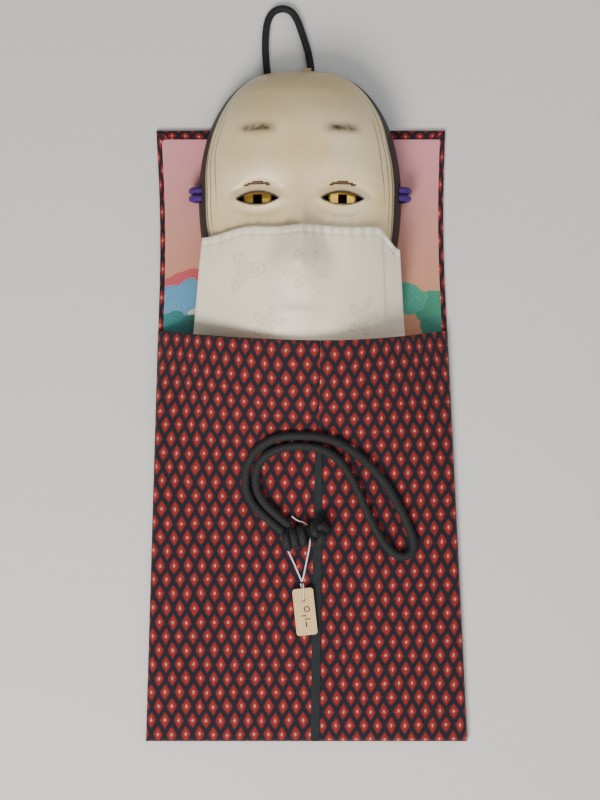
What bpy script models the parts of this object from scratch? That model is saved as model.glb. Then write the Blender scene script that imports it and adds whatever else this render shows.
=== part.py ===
# A noh mask resting face up on the open flap of its padded storage bag: the chin is in the pocket, a thin
# padded silk cloth covers the lower face, and a tie cord and a wooden tag lie on the bag's front.
# Lengths are in millimetres and turned to metres by MM. +Y runs from the bag's bottom to the mask's crown.

import math

import bmesh
import bpy
import numpy as np
from mathutils import Matrix, Vector

MM = 0.001
GAP = 0.3  # between two pieces that touch

# The mask, in its own frame: x across, y towards the crown, z out of the face, z = 0 at the rim
MASK_LENGTH = 212.0
MASK_WIDTH = 138.0
MASK_DEPTH = 50.0  # the forehead above the rim; the nose stands further out
MASK_WALL = 8.0
MASK_COLUMNS = (30, 14)  # outside, inside
MASK_RINGS = 38
WIDEST = 0.14  # where the outline is widest, along the half length
UPPER_OUTLINE = 2.4
LOWER_OUTLINE = (2.2, 1.35)
SECTION_POWER = 2.4
RELIEF_FADE = (0.15, 0.6)  # the relief fades out between these shares of the section's arch
CREST = [(-1.0, 0.0), (-0.955, 0.46), (-0.87, 0.74), (-0.77, 0.86), (-0.62, 0.9), (-0.45, 0.95),
         (-0.25, 0.99), (0.06, 1.0), (0.3, 1.04), (0.57, 1.0), (0.8, 0.8), (0.94, 0.46), (1.0, 0.0)]
NOSE_HEIGHT = [(-1.0, 0.0), (-0.41, 0.0), (-0.37, 4.0), (-0.325, 15.0), (-0.285, 17.5), (-0.2, 14.0),
               (-0.03, 7.0), (0.15, 1.5), (0.26, 0.0), (1.0, 0.0)]
NOSE_SPREAD = [(-1.0, 8.5), (-0.32, 8.5), (-0.08, 6.0), (0.16, 5.0), (1.0, 5.0)]
FACE_FORMS = [  # mirrored pairs and middle forms: across, along, spread across, spread along, height
    (0.406, 0.133, 0.23, 0.1, -5.0),  # eye socket
    (0.406, 0.123, 0.2, 0.055, 3.5),  # eyelids over the ball of the eye
    (0.37, 0.33, 0.3, 0.09, 1.5),  # brow
    (0.55, -0.2, 0.26, 0.19, 2.5),  # cheek
    (0.13, -0.315, 0.07, 0.045, 4.0),  # wing of the nose
    (0.0, -0.53, 0.38, 0.14, 2.5),  # round of the mouth
    (0.0, -0.475, 0.24, 0.038, 3.5),  # upper lip
    (0.0, -0.53, 0.25, 0.022, -5.0),  # parting of the lips
    (0.0, -0.58, 0.2, 0.042, 4.5),  # lower lip
    (0.0, -0.67, 0.22, 0.05, -2.5),  # hollow under the lip
    (0.0, -0.81, 0.26, 0.1, 2.5),  # chin
]
EYE = (28.0, 13.0)  # five eye widths across the face, one between the eyes
EYE_OPENING = (27.0, 8.5)
EYE_LIP = 2.4  # wood left in front of the eye plate
EYE_PLATE = (32.0, 13.0, 0.8)
PUPIL = 6.0
NOSTRIL = (5.5, -37.5)
NOSTRIL_SIZE = (4.4, 3.5, 8.8)

# The cord at each side of the mask, which passes twice through its hole and round the rim
CORD_HOLE_Y = 20.0
CORD_HOLE_Z = 15.5
MASK_CORD = 4.6
STRANDS_APART = 0.6
CORD_HOLE_PLAY = 0.5
CORD_UNDER_RIM_PLAY = 1.2
RIM_NOTCH_SPREAD = 22.0
RIM_LIFT_AT_CROWN = 3.5
CROWN_LIFT_FROM = (0.72, 0.92)  # where the lift begins and is full, along the half length
HANK = (76.0, 28.4, 9.6)
HANK_FROM_WALL = 26.0
HANK_Y = -24.0
HANK_TURN = -12.0
HANK_BAND = (9.0, 0.8)

CROWN_TAB = (5.5, 9.0, 0.9)
CROWN_TAB_SHOWS = 2.0
CROWN_TAB_X = 5.0

# The thin padded cloth over the lower face, in the mask's frame
CLOTH_LAYERS = (0.5, 1.0, 0.5)
CLOTH_CLEARANCE = 1.6
CLOTH_SLOPE = 1.0  # the cloth's steepest fall
CLOTH_CELLS = (18, 15)
CLOTH_LEFT = (-3.5, 10.0)  # past the mask's side, at the hem and at the far end
CLOTH_RIGHT = (-2.0, 7.0)
CLOTH_BELOW_EYES = 18.5
CLOTH_PAST_CHIN = 13.0
CLOTH_CORNER = (5.0, 13.0)  # how far the hem's corners drop, left and right

# The bag
BAG_LAYERS = (0.7, 1.6, 0.5)  # outer fabric, wadding, lining
POCKET_LENGTH = 282.0
FLAP_LENGTH = 138.0
BAG_WIDTH = 221.0
MOUTH_WIDTH = 199.0
FLAP_HOLLOW = 2.0  # how far the flap's sides curve in
BAG_LEAN = 4.0  # the flap's end stands this far to the left
MOUTH_DIP = 8.5
RISE = [(0.0, 0.0), (0.06, 0.03), (0.3, 0.085), (0.45, 0.12), (0.58, 0.18), (0.72, 0.37), (0.885, 0.81),
        (0.94, 0.94), (0.97, 1.0), (1.0, 1.04)]
PANEL_CLEARANCE = 0.8  # over the cloth
WADDING_INSET = (1.5, 2.0)  # side, top
LINING_INSET = (3.0, 6.0)
BACK_CELLS = (4, 8)
FRONT_CELLS = (14, 16)
SEAM_X = (5.8, 9.0)  # at the bottom, at the mouth
TAPE = (6.0, 0.6)
TAPE_START = 1.0
TAPE_LENGTH = 205.0

# Where the mask lies
CHIN_IN_POCKET = 34.0
MASK_X = -4.5

# Cords on the bag: each point is x, y and how far the cord is lifted off what it lies on
TIE_CORD = 6.0
TIE_ROUTE = [
    (-20.6, -81.6, 1.0), (-27.3, -76.0, 0.4), (-35.5, -67.5, 0.2), (-40.0, -58.5, 0.0), (-41.0, -49.8, 0.0),
    (-39.6, -40.2, 0.0), (-34.6, -31.0, 0.0), (-26.6, -23.8, 0.0), (-17.0, -20.0, 0.2), (-5.8, -18.8, 0.5),
    (5.4, -19.2, 1.0), (15.7, -21.6, 0.7), (26.2, -27.3, 0.0), (35.7, -34.4, 0.0), (45.3, -43.6, 0.0),
    (53.0, -53.2, 0.0), (59.4, -63.9, 0.0), (65.2, -74.4, 0.0), (70.2, -86.0, 0.0), (72.4, -94.6, 0.0),
    (70.6, -100.6, 0.0), (65.2, -103.0, 0.0), (58.6, -100.4, 0.0), (52.4, -93.5, 0.0), (47.0, -84.8, 0.0),
    (41.7, -74.3, 0.0), (36.9, -63.7, 0.0), (32.1, -53.1, 0.0), (27.0, -43.8, 0.0), (20.6, -35.6, 0.3),
    (13.9, -30.3, 0.9), (6.0, -27.2, 1.0), (-3.2, -26.0, 0.6), (-12.6, -26.8, 0.2), (-21.9, -29.8, 0.0),
    (-29.0, -34.8, 0.0), (-33.2, -41.9, 0.0), (-34.2, -50.6, 0.0), (-32.6, -58.6, 0.0), (-27.9, -66.4, 0.2),
    (-21.6, -72.6, 0.6), (-15.6, -77.8, 1.0),
]
KNOT_WRAP = (-7.0, -89.0)
KNOT_WRAP_SIZE = (22.0, 16.0, 12.0)
KNOT_KNOB = (8.0, -84.5)
KNOT_KNOB_SIZE = (14.0, 19.5, 14.0)
LOOP_CORD = 5.2
LOOP_ROUTE = [
    (-17.5, 190.6), (-19.0, 198.0), (-22.6, 210.0), (-26.0, 223.0), (-27.8, 236.4), (-28.4, 248.1),
    (-27.6, 259.8), (-25.4, 267.0), (-21.4, 271.2), (-16.0, 272.6), (-10.6, 270.6), (-6.8, 265.4),
    (-4.0, 258.4), (-1.4, 250.6), (1.4, 241.3), (3.0, 230.0), (1.6, 216.0), (-3.6, 203.0), (-8.6, 196.0),
    (-10.8, 190.6),
]

# The tag and its string: the string turns at the knot, and the tag lifts about the string's end
STRING = 1.0
STRING_LIFT = GAP + TAPE[1] + GAP + STRING / 2  # clear of the tape
KNOT_LIFT = STRING_LIFT + STRING / 2 + GAP  # the string passes under the knot
STRING_TURN = (-4.0, -84.0)
TAG_HANGS_FROM = (-3.2, -119.6)
STRING_ROUTE = [
    (-10.1, -74.9), (-8.6, -76.4), (-5.6, -78.4), (-1.8, -79.6), (0.9, -82.4), (2.0, -87.0), (2.1, -94.8),
    (0.4, -104.0), (-1.4, -113.0), (-2.5, -118.0), TAG_HANGS_FROM, (-4.1, -118.0), (-6.6, -112.0),
    (-10.6, -103.0), (-14.8, -94.0), (-15.2, -90.4), (-13.4, -87.2), (-11.6, -84.6),
]
TAG = (14.2, 32.0, 2.2)
TAG_CORNER = 2.0
TAG_HOLE = 1.1
TAG_HOLE_FROM_TOP = 8.0
TAG_TOP_FROM_STRING = 3.4
TAG_TURN = 6.0
TAG_LIFT = 2.6  # its underside above the bag, for the string behind it

WOOD_GOFUN = ("polished white ground on wood", (0.82, 0.69, 0.45), 0.32, 0.0)
GILT = ("gilt brass", (0.75, 0.52, 0.18), 0.3, 1.0)
SILK_CREAM = ("cream silk", (0.86, 0.79, 0.66), 0.6, 0.0)
WADDING = ("cotton wadding", (0.85, 0.83, 0.78), 0.95, 0.0)
FABRIC_OUTER = ("red and navy figured fabric", (0.3, 0.03, 0.03), 0.85, 0.0)
FABRIC_LINING = ("salmon silk lining", (0.55, 0.22, 0.16), 0.7, 0.0)
CORD_BLACK = ("black braided cord", (0.01, 0.015, 0.015), 0.8, 0.0)
CORD_PURPLE = ("purple braided silk", (0.05, 0.0, 0.22), 0.7, 0.0)
STRING_WHITE = ("white cotton string", (0.85, 0.85, 0.88), 0.9, 0.0)
TAG_WOOD = ("pale wood", (0.8, 0.58, 0.3), 0.7, 0.0)
PAPER = ("beige paper", (0.6, 0.52, 0.36), 0.9, 0.0)


def curve_through(points):
    """A smooth function through (x, y) points, with no overshoot, level outside them."""
    xs, ys = (np.array(column, float) for column in zip(*points))
    steps = np.diff(ys) / np.diff(xs)
    slopes = np.zeros(len(xs))
    for i in range(1, len(xs) - 1):
        if steps[i - 1] * steps[i] > 0:
            slopes[i] = 2 * steps[i - 1] * steps[i] / (steps[i - 1] + steps[i])
    slopes[0], slopes[-1] = steps[0], steps[-1]

    def value(x):
        x = np.clip(x, xs[0], xs[-1])
        i = np.clip(np.searchsorted(xs, x) - 1, 0, len(xs) - 2)
        span = xs[i + 1] - xs[i]
        t = (x - xs[i]) / span
        rise = ys[i] + (ys[i + 1] - ys[i]) * t * t * (3 - 2 * t)
        return rise + span * t * (1 - t) * (slopes[i] * (1 - t) - slopes[i + 1] * t)

    return value


def ramp(low, high, x):
    t = np.clip((x - low) / (high - low), 0, 1)
    return t * t * (3 - 2 * t)


def bump(x, centre, spread):
    return np.exp(-(((x - centre) / spread) ** 2))


# ---- the mask's surface ----

crest = curve_through(CREST)
nose_height = curve_through(NOSE_HEIGHT)
nose_spread = curve_through(NOSE_SPREAD)


def outline(v):
    """The mask's half width at v along it, as a share of the largest."""
    upper = np.clip((v - WIDEST) / (1 - WIDEST), 0, 1)
    lower = np.clip((WIDEST - v) / (1 + WIDEST), 0, 1)
    above = (1 - upper**UPPER_OUTLINE) ** (1 / UPPER_OUTLINE)
    return above * (1 - lower ** LOWER_OUTLINE[0]) ** (1 / LOWER_OUTLINE[1])


def rim_lift(v):
    at_cord = bump(v * MASK_LENGTH / 2, CORD_HOLE_Y, RIM_NOTCH_SPREAD)
    return (MASK_CORD + CORD_UNDER_RIM_PLAY) * at_cord + RIM_LIFT_AT_CROWN * ramp(*CROWN_LIFT_FROM, v)


def relief(u, v):
    """The height of the nose, eyes, cheeks and lips over the plain form."""
    side = np.abs(u)
    spread = nose_spread(v) / (MASK_WIDTH / 2)
    height = nose_height(v) * bump(side, 0, spread)
    for across, along, wide, long, high in FACE_FORMS:
        height = height + high * bump(side, across, wide) * bump(v, along, long)
    return height


def form_height(v, share, scale=1.0):
    """The plain form's height where the section's arch stands at share of its own."""
    lift = rim_lift(v)
    return lift + crest(v) * (MASK_DEPTH * scale - lift) * share


def mask_height(x, y):
    """The outer surface's height at x, y in the mask's frame, or 0 outside it."""
    v = np.clip(y / (MASK_LENGTH / 2), -1, 1)
    half = np.maximum(outline(v) * MASK_WIDTH / 2, 1e-6)
    share = np.sqrt(np.clip(1 - (np.abs(x) / half) ** SECTION_POWER, 0, 1))
    height = form_height(v, share) + relief(x / (MASK_WIDTH / 2), v) * ramp(*RELIEF_FADE, share)
    return np.where((np.abs(x) < half) & (np.abs(y) < MASK_LENGTH / 2), height, 0.0)


def mask_point(v, angle, inside):
    """A point of the outer surface, or of the hollow, at an angle round the section from +X."""
    wall = MASK_WALL if inside else 0.0
    thinner = [1 - wall / size for size in (MASK_WIDTH / 2, MASK_LENGTH / 2, MASK_DEPTH)]
    share = max(math.sin(angle), 0.0)
    across = math.copysign(abs(math.cos(angle)) ** (2 / SECTION_POWER), math.cos(angle)) * outline(v)
    z = form_height(v, share, thinner[2])
    if not inside:
        z = z + relief(across, v) * ramp(*RELIEF_FADE, share)
    return Vector((across * MASK_WIDTH / 2 * thinner[0], v * MASK_LENGTH / 2 * thinner[1], z))


def stretched_height():
    """The height of a sheet laid over the mask that falls no steeper than CLOTH_SLOPE, as a function."""
    step, margin, reach = 2.5, 40, 60
    xs = np.arange(-MASK_WIDTH / 2 - margin, MASK_WIDTH / 2 + margin, step)
    ys = np.arange(-MASK_LENGTH / 2 - margin, margin, step)
    height = mask_height(xs[None, :], ys[:, None])
    neighbours = [(down, across) for down in range(3) for across in range(3)]
    for once in range(reach + 1):
        wider = np.pad(height, 1, mode="edge")
        for down, across in neighbours:
            run = step * math.hypot(down - 1, across - 1)
            shifted = wider[down:down + len(ys), across:across + len(xs)]
            height = np.maximum(height, shifted - (CLOTH_SLOPE * run if once else 0.0))

    def value(x, y):
        i = min(max((y - ys[0]) / step, 0), len(ys) - 1.001)
        j = min(max((x - xs[0]) / step, 0), len(xs) - 1.001)
        a, b = int(i), int(j)
        corners = height[a:a + 2, b:b + 2]
        return float(np.array([1 - i + a, i - a]) @ corners @ np.array([1 - j + b, j - b]))

    return value


cloth_base = stretched_height()
CLOTH_STACK = sum(CLOTH_LAYERS) + 2 * GAP
BAG_STACK = sum(BAG_LAYERS) + 2 * GAP
MASK_Z = BAG_STACK + GAP
EDGE_HEIGHT = 2 * BAG_STACK + GAP
CROWN_REACH = MASK_LENGTH / 2 + CROWN_TAB_SHOWS
MASK_FROM_MOUTH = MASK_LENGTH / 2 - CHIN_IN_POCKET
TOTAL_LENGTH = POCKET_LENGTH + MASK_FROM_MOUTH + CROWN_REACH
BAG_BOTTOM = -TOTAL_LENGTH / 2
MOUTH_Y = BAG_BOTTOM + POCKET_LENGTH
FLAP_TOP = MOUTH_Y + FLAP_LENGTH
MASK_Y = MOUTH_Y + MASK_FROM_MOUTH


def cloth_height(x, y):
    return cloth_base(x, y) + CLOTH_CLEARANCE + CLOTH_STACK


# ---- the bag's surfaces ----

rise = curve_through(RISE)


def bag_middle(y):
    return -BAG_LEAN * (y - BAG_BOTTOM) / (FLAP_TOP - BAG_BOTTOM)


def bag_half(y):
    along = min(max((y - BAG_BOTTOM) / POCKET_LENGTH, 0), 1)
    past = min(max((y - MOUTH_Y) / FLAP_LENGTH, 0), 1)
    return (BAG_WIDTH + (MOUTH_WIDTH - BAG_WIDTH) * along) / 2 - FLAP_HOLLOW * math.sin(math.pi * past)


def panel_share(x, y):
    """The front panel's height over its edge, as a share of its height at the mouth."""
    turn = min(max((x - bag_middle(y)) / bag_half(y), -1), 1)
    return float(rise((y - BAG_BOTTOM) / POCKET_LENGTH)) * math.cos(math.pi / 2 * turn)


def height_that_clears_cloth():
    """The least height at the mouth that keeps the whole panel over the cloth."""
    over = MASK_Z + PANEL_CLEARANCE + BAG_STACK + GAP - EDGE_HEIGHT
    needed = 0.0
    for y in np.arange(MASK_Y - MASK_LENGTH / 2 - CLOTH_PAST_CHIN, MOUTH_Y, 2.0):
        for x in np.arange(MASK_X - MASK_WIDTH / 2, MASK_X + MASK_WIDTH / 2, 4.0):
            needed = max(needed, (cloth_height(x - MASK_X, y - MASK_Y) + over) / panel_share(x, y))
    return EDGE_HEIGHT + needed


MOUTH_HEIGHT = height_that_clears_cloth()


def panel_height(x, y):
    """The outside of the bag's front panel."""
    return EDGE_HEIGHT + (MOUTH_HEIGHT - EDGE_HEIGHT) * panel_share(x, y)


def panel_point(x, y, depth):
    """The point at a depth under the front panel's outside, along its normal."""
    small = 0.5
    fall_x = (panel_height(x + small, y) - panel_height(x - small, y)) / (2 * small)
    fall_y = (panel_height(x, y + small) - panel_height(x, y - small)) / (2 * small)
    normal = Vector((-fall_x, -fall_y, 1)).normalized()
    return Vector((x, y, panel_height(x, y))) - normal * depth


def seam_x(y):
    return SEAM_X[0] + (SEAM_X[1] - SEAM_X[0]) * (y - BAG_BOTTOM) / POCKET_LENGTH


def front_place(s, t, depth, apart=0.0):
    """s runs -1, 0, 1 from the left edge over the seam to the right edge, t from -1 to 1 up the pocket."""
    along = (t + 1) / 2
    y = BAG_BOTTOM + along * POCKET_LENGTH - along**2 * MOUTH_DIP * math.cos(math.pi / 2 * s)
    edge = bag_middle(y) + math.copysign(bag_half(y), s)
    x = seam_x(y) + (edge - seam_x(y)) * abs(s) + apart * (1 - abs(s))
    return panel_point(x, y, depth)


def back_place(s, t, depth, inset=(0.0, 0.0)):
    """The flat back of the bag with its flap; depth is under its upper side."""
    top = FLAP_TOP - inset[1]
    y = BAG_BOTTOM + inset[0] + (t + 1) / 2 * (top - BAG_BOTTOM - inset[0])
    return Vector((bag_middle(y) + s * (bag_half(y) - inset[0]), y, BAG_STACK - depth))


def cloth_place(s, t, depth):
    """In the mask's frame; depth is under the cloth's upper side."""
    down = (1 - t) / 2
    past_left, past_right = (hem + (far - hem) * down for hem, far in (CLOTH_LEFT, CLOTH_RIGHT))
    x = s * MASK_WIDTH / 2 + past_right * (s + 1) / 2 + past_left * (s - 1) / 2
    corner = CLOTH_CORNER[0] * ramp(0.4, 1.0, -s) + CLOTH_CORNER[1] * ramp(0.75, 1.0, s)
    end = -MASK_LENGTH / 2 - CLOTH_PAST_CHIN
    y = end + (EYE[1] - CLOTH_BELOW_EYES - corner - end) * (t + 1) / 2
    return Vector((x, y, cloth_height(x, y) - depth))


# ---- making objects ----

for old in list(bpy.data.objects):
    bpy.data.objects.remove(old, do_unlink=True)
parts = bpy.data.collections.new("noh_mask_in_bag")
cutters = bpy.data.collections.new("cutters")
for collection in (parts, cutters):
    bpy.context.scene.collection.children.link(collection)


def material_for(finish):
    name, colour, roughness, metallic = finish
    if name in bpy.data.materials:
        return bpy.data.materials[name]
    material = bpy.data.materials.new(name)
    material.use_nodes = True
    shader = material.node_tree.nodes["Principled BSDF"]
    shader.inputs["Base Color"].default_value = (*colour, 1.0)
    shader.inputs["Roughness"].default_value = roughness
    shader.inputs["Metallic"].default_value = metallic
    return material


def add_object(name, data, finish=None, parent=None):
    """A part with its finish, or a cutter when it has none."""
    thing = bpy.data.objects.new(name, data)
    (parts if finish else cutters).objects.link(thing)
    if finish:
        data.materials.append(material_for(finish))
    else:
        thing.hide_render = True
        thing.display_type = "WIRE"
    thing.parent = parent
    return thing


def mesh_object(name, bm, finish=None, parent=None):
    bmesh.ops.recalc_face_normals(bm, faces=bm.faces[:])
    if bm.calc_volume(signed=True) < 0:
        bmesh.ops.reverse_faces(bm, faces=bm.faces[:])
    mesh = bpy.data.meshes.new(name)
    bm.to_mesh(mesh)
    bm.free()
    mesh.shade_smooth()
    mesh.set_sharp_from_angle(angle=math.radians(40))
    return add_object(name, mesh, finish, parent)


def empty_at(name, place, turn=(0, 0, 0), parent=None):
    pivot = bpy.data.objects.new(name, None)
    parts.objects.link(pivot)
    pivot.location = Vector(place) * MM
    pivot.rotation_euler = [math.radians(angle) for angle in turn]
    pivot.parent = parent
    return pivot


def layer(name, place, near, far, cells, finish=None, parent=None):
    """A sheet between two depths of a surface: a grid, extruded through its thickness."""
    bm = bmesh.new()
    bmesh.ops.create_grid(bm, x_segments=cells[0], y_segments=cells[1], size=1.0)
    made = bmesh.ops.extrude_face_region(bm, geom=bm.faces[:])["geom"]
    deep = {v for v in made if isinstance(v, bmesh.types.BMVert)}
    for v in bm.verts:
        v.co = place(v.co.x, v.co.y, far if v in deep else near) * MM
    return mesh_object(name, bm, finish, parent)


def prism(name, points, low, high, finish=None, parent=None):
    """A flat outline made into a solid from low to high."""
    curve = bpy.data.curves.new(name, "CURVE")
    curve.dimensions = "2D"
    curve.fill_mode = "BOTH"
    curve.extrude = (high - low) / 2 * MM
    spline = curve.splines.new("POLY")
    spline.points.add(len(points) - 1)
    for point, (x, y) in zip(spline.points, points):
        point.co = (x * MM, y * MM, 0, 1)
    spline.use_cyclic_u = True
    flat = bpy.data.objects.new(name + "_outline", curve)
    parts.objects.link(flat)
    mesh = bpy.data.meshes.new_from_object(flat.evaluated_get(bpy.context.evaluated_depsgraph_get()))
    bpy.data.objects.remove(flat)
    mesh.transform(Matrix.Translation((0, 0, (low + high) / 2 * MM)))
    bm = bmesh.new()
    bm.from_mesh(mesh)
    bpy.data.meshes.remove(mesh)
    bmesh.ops.remove_doubles(bm, verts=bm.verts[:], dist=1e-6)
    return mesh_object(name, bm, finish, parent)


def racetrack(length, width, steps=8):
    """An outline with round ends, its length along y."""
    radius = width / 2
    points = []
    for end in (1, -1):
        for k in range(steps + 1):
            angle = math.pi * k / steps
            points.append((end * radius * math.cos(angle),
                           end * (length / 2 - radius + radius * math.sin(angle))))
    return points


def almond(length, height, steps=10):
    """Two arcs that meet in points at the corners of the eye."""
    upper = [(length * (k / steps - 0.5), height / 2 * math.sin(math.pi * k / steps) ** 0.8)
             for k in range(steps + 1)]
    lower = [(x, -0.85 * y) for x, y in upper[-2:0:-1]]
    return upper + lower


def box(name, size, finish=None, parent=None):
    bm = bmesh.new()
    bmesh.ops.create_cube(bm, size=1.0)
    bmesh.ops.scale(bm, vec=Vector(size) * MM, verts=bm.verts[:])
    return mesh_object(name, bm, finish, parent)


def ball(name, size, cells, finish=None, parent=None):
    bm = bmesh.new()
    bmesh.ops.create_uvsphere(bm, u_segments=cells[0], v_segments=cells[1], radius=0.5)
    bmesh.ops.scale(bm, vec=Vector(size) * MM, verts=bm.verts[:])
    return mesh_object(name, bm, finish, parent)


def cylinder(name, radius, length, parent=None):
    bm = bmesh.new()
    bmesh.ops.create_cone(bm, cap_ends=True, segments=16, radius1=radius * MM, radius2=radius * MM,
                          depth=length * MM)
    return mesh_object(name, bm, None, parent)


def boolean(thing, cutter, operation="DIFFERENCE", solver="EXACT"):
    modifier = thing.modifiers.new(operation.lower() + "_" + cutter.name, "BOOLEAN")
    modifier.operation = operation
    modifier.solver = solver
    modifier.object = cutter


def smooth_route(points, spacing):
    """Points about spacing apart on one smooth curve through a cord's own points."""
    points = [Vector(p) for p in points]
    ends = [2 * points[0] - points[1], *points, 2 * points[-1] - points[-2]]
    fine = []
    for a, b, c, d in zip(ends, ends[1:], ends[2:], ends[3:]):
        for k in range(12):
            t = k / 12
            fine.append(0.5 * (2 * b + (c - a) * t + (2 * a - 5 * b + 4 * c - d) * t * t
                               + (3 * b - a - 3 * c + d) * t**3))
    fine.append(points[-1])
    along = np.concatenate([[0], np.cumsum([(q - p).length for p, q in zip(fine, fine[1:])])])
    count = max(2, round(along[-1] / spacing)) + 1
    places = np.linspace(0, along[-1], count)
    return [Vector([float(np.interp(s, along, [p[axis] for p in fine])) for axis in range(3)])
            for s in places]


def tube(name, points, diameter, finish, parent=None, spacing=2.5):
    curve = bpy.data.curves.new(name, "CURVE")
    curve.dimensions = "3D"
    curve.bevel_depth = diameter / 2 * MM
    curve.bevel_resolution = 2
    curve.use_fill_caps = True
    spline = curve.splines.new("POLY")
    route = smooth_route(points, spacing * diameter)
    spline.points.add(len(route) - 1)
    for point, place in zip(spline.points, route):
        point.co = (*(place * MM), 1)
    return add_object(name, curve, finish, parent)


# ---- the bag ----

def make_bag():
    outer, wadding, lining = BAG_LAYERS
    under_wadding = outer + GAP
    under_lining = under_wadding + wadding + GAP
    half_cells = (FRONT_CELLS[0] // 2, FRONT_CELLS[1])

    def back_wadding_place(s, t, depth):
        return back_place(s, t, depth, WADDING_INSET)

    def back_lining_place(s, t, depth):
        return back_place(s, t, depth, LINING_INSET)

    def left_place(s, t, depth):
        return front_place((s - 1) / 2, t, depth, -GAP / 2)

    def right_place(s, t, depth):
        return front_place((s + 1) / 2, t, depth, GAP / 2)

    def tape_place(s, t, height):
        y = BAG_BOTTOM + TAPE_START + (t + 1) / 2 * TAPE_LENGTH
        return panel_point(seam_x(y) + s * TAPE[0] / 2, y, -height)

    layer("bag_back_outer", back_place, BAG_STACK - outer, BAG_STACK, BACK_CELLS, FABRIC_OUTER)
    layer("bag_back_wadding", back_wadding_place, lining + GAP, lining + GAP + wadding, BACK_CELLS, WADDING)
    layer("bag_back_lining", back_lining_place, 0.0, lining, BACK_CELLS, FABRIC_LINING)
    layer("bag_front_outer_left", left_place, 0.0, outer, half_cells, FABRIC_OUTER)
    layer("bag_front_outer_right", right_place, 0.0, outer, half_cells, FABRIC_OUTER)
    layer("bag_front_wadding", front_place, under_wadding, under_wadding + wadding, FRONT_CELLS, WADDING)
    layer("bag_front_lining", front_place, under_lining, under_lining + lining, FRONT_CELLS, FABRIC_LINING)

    layer("centre_tape", tape_place, GAP, GAP + TAPE[1], (2, 24), CORD_BLACK)


def on_panel(x, y, lift):
    return panel_point(x, y, -lift)


def make_bag_cords():
    rest = TIE_CORD / 2 + GAP
    tube("tie_cord", [on_panel(x, y, rest + lift) for x, y, lift in TIE_ROUTE], TIE_CORD, CORD_BLACK,
         spacing=1.3)
    knot = ball("tie_knot", KNOT_WRAP_SIZE, (14, 8), CORD_BLACK)
    knot.location = on_panel(*KNOT_WRAP, KNOT_LIFT + KNOT_WRAP_SIZE[2] / 2) * MM
    knob = ball("knot_knob", KNOT_KNOB_SIZE, (14, 8))
    knob.location = on_panel(*KNOT_KNOB, KNOT_LIFT + KNOT_KNOB_SIZE[2] / 2) * MM
    boolean(knot, knob, "UNION")
    rest = LOOP_CORD / 2 + 0.1
    tube("flap_loop", [(x, y, rest) for x, y in LOOP_ROUTE], LOOP_CORD, CORD_BLACK, spacing=1.2)


# ---- the tag ----

def make_tag():
    turn = on_panel(*STRING_TURN, STRING_LIFT)
    far = on_panel(STRING_TURN[0], TAG_HANGS_FROM[1] - TAG[1], STRING_LIFT)
    tilt = math.degrees(math.atan2(turn.z - far.z, turn.y - far.y))
    swing = empty_at("string_pivot", turn, (tilt, 0, 0))
    lie = swing.rotation_euler.to_matrix().inverted()
    route = [lie @ (on_panel(x, y, STRING_LIFT) - turn) for x, y in STRING_ROUTE]
    tube("tag_string", route, STRING, STRING_WHITE, swing, spacing=3.0)

    pivot = on_panel(TAG_HANGS_FROM[0], TAG_HANGS_FROM[1] - STRING - GAP, STRING_LIFT)
    flip = empty_at("tag_pivot", lie @ (pivot - turn), (0, 0, TAG_TURN), swing)
    top = -TAG_TOP_FROM_STRING
    hole = top - TAG_HOLE_FROM_TOP
    middle = TAG_LIFT - STRING_LIFT + TAG[2] / 2
    bm = bmesh.new()
    bmesh.ops.create_cube(bm, size=1.0)
    bmesh.ops.scale(bm, vec=Vector(TAG) * MM, verts=bm.verts[:])
    upright = [e for e in bm.edges if abs(e.verts[0].co.z - e.verts[1].co.z) > 1e-6]
    bmesh.ops.bevel(bm, geom=upright, offset=TAG_CORNER * MM, segments=4, profile=0.5, affect="EDGES")
    plate = mesh_object("tag_plate", bm, TAG_WOOD, flip)
    plate.location = Vector((0.0, top - TAG[1] / 2, middle)) * MM
    bore = cylinder("tag_bore", TAG_HOLE, TAG[2] * 3, flip)
    bore.location = Vector((0.0, hole, middle)) * MM
    boolean(plate, bore)
    over = middle + TAG[2] / 2 + GAP + STRING / 2
    under = middle - TAG[2] / 2 - GAP - STRING / 2
    reach = STRING / 2 + GAP
    tube("tag_loop", [(reach, 0.0, middle), (reach, top + 1.0, over - 0.3), (reach * 0.6, top - 2.0, over),
                      (0.0, hole + 1.8, over), (0.0, hole + 0.2, over - 0.5), (0.0, hole, middle),
                      (0.0, hole + 0.2, under + 0.5), (0.0, hole + 1.8, under),
                      (-reach * 0.6, top - 2.0, under), (-reach, top + 1.0, under + 0.3),
                      (-reach, 0.0, middle - 0.2)],
         STRING, STRING_WHITE, flip, spacing=1.2)


# ---- the mask ----

def make_shell(body):
    outside, within = MASK_COLUMNS
    around = outside + within
    bm = bmesh.new()
    bmesh.ops.create_uvsphere(bm, u_segments=around, v_segments=MASK_RINGS, radius=1.0)
    for v in bm.verts:
        along = max(-1.0, min(1.0, v.co.z))
        column = round(math.atan2(v.co.y, v.co.x) / (2 * math.pi) * around) % around
        if abs(along) > 1 - 1e-5:
            place = Vector((0, MASK_LENGTH / 2 * along, rim_lift(along)))
        elif column <= outside:
            place = mask_point(along, math.pi * column / outside, False)
        else:
            place = mask_point(along, math.pi * (around - 1 - column) / (within - 2), True)
        v.co = place * MM
    shell = mesh_object("mask_shell", bm, WOOD_GOFUN, body)
    for side, label in ((-1, "left"), (1, "right")):
        cut_side(shell, side, label, body)


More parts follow.
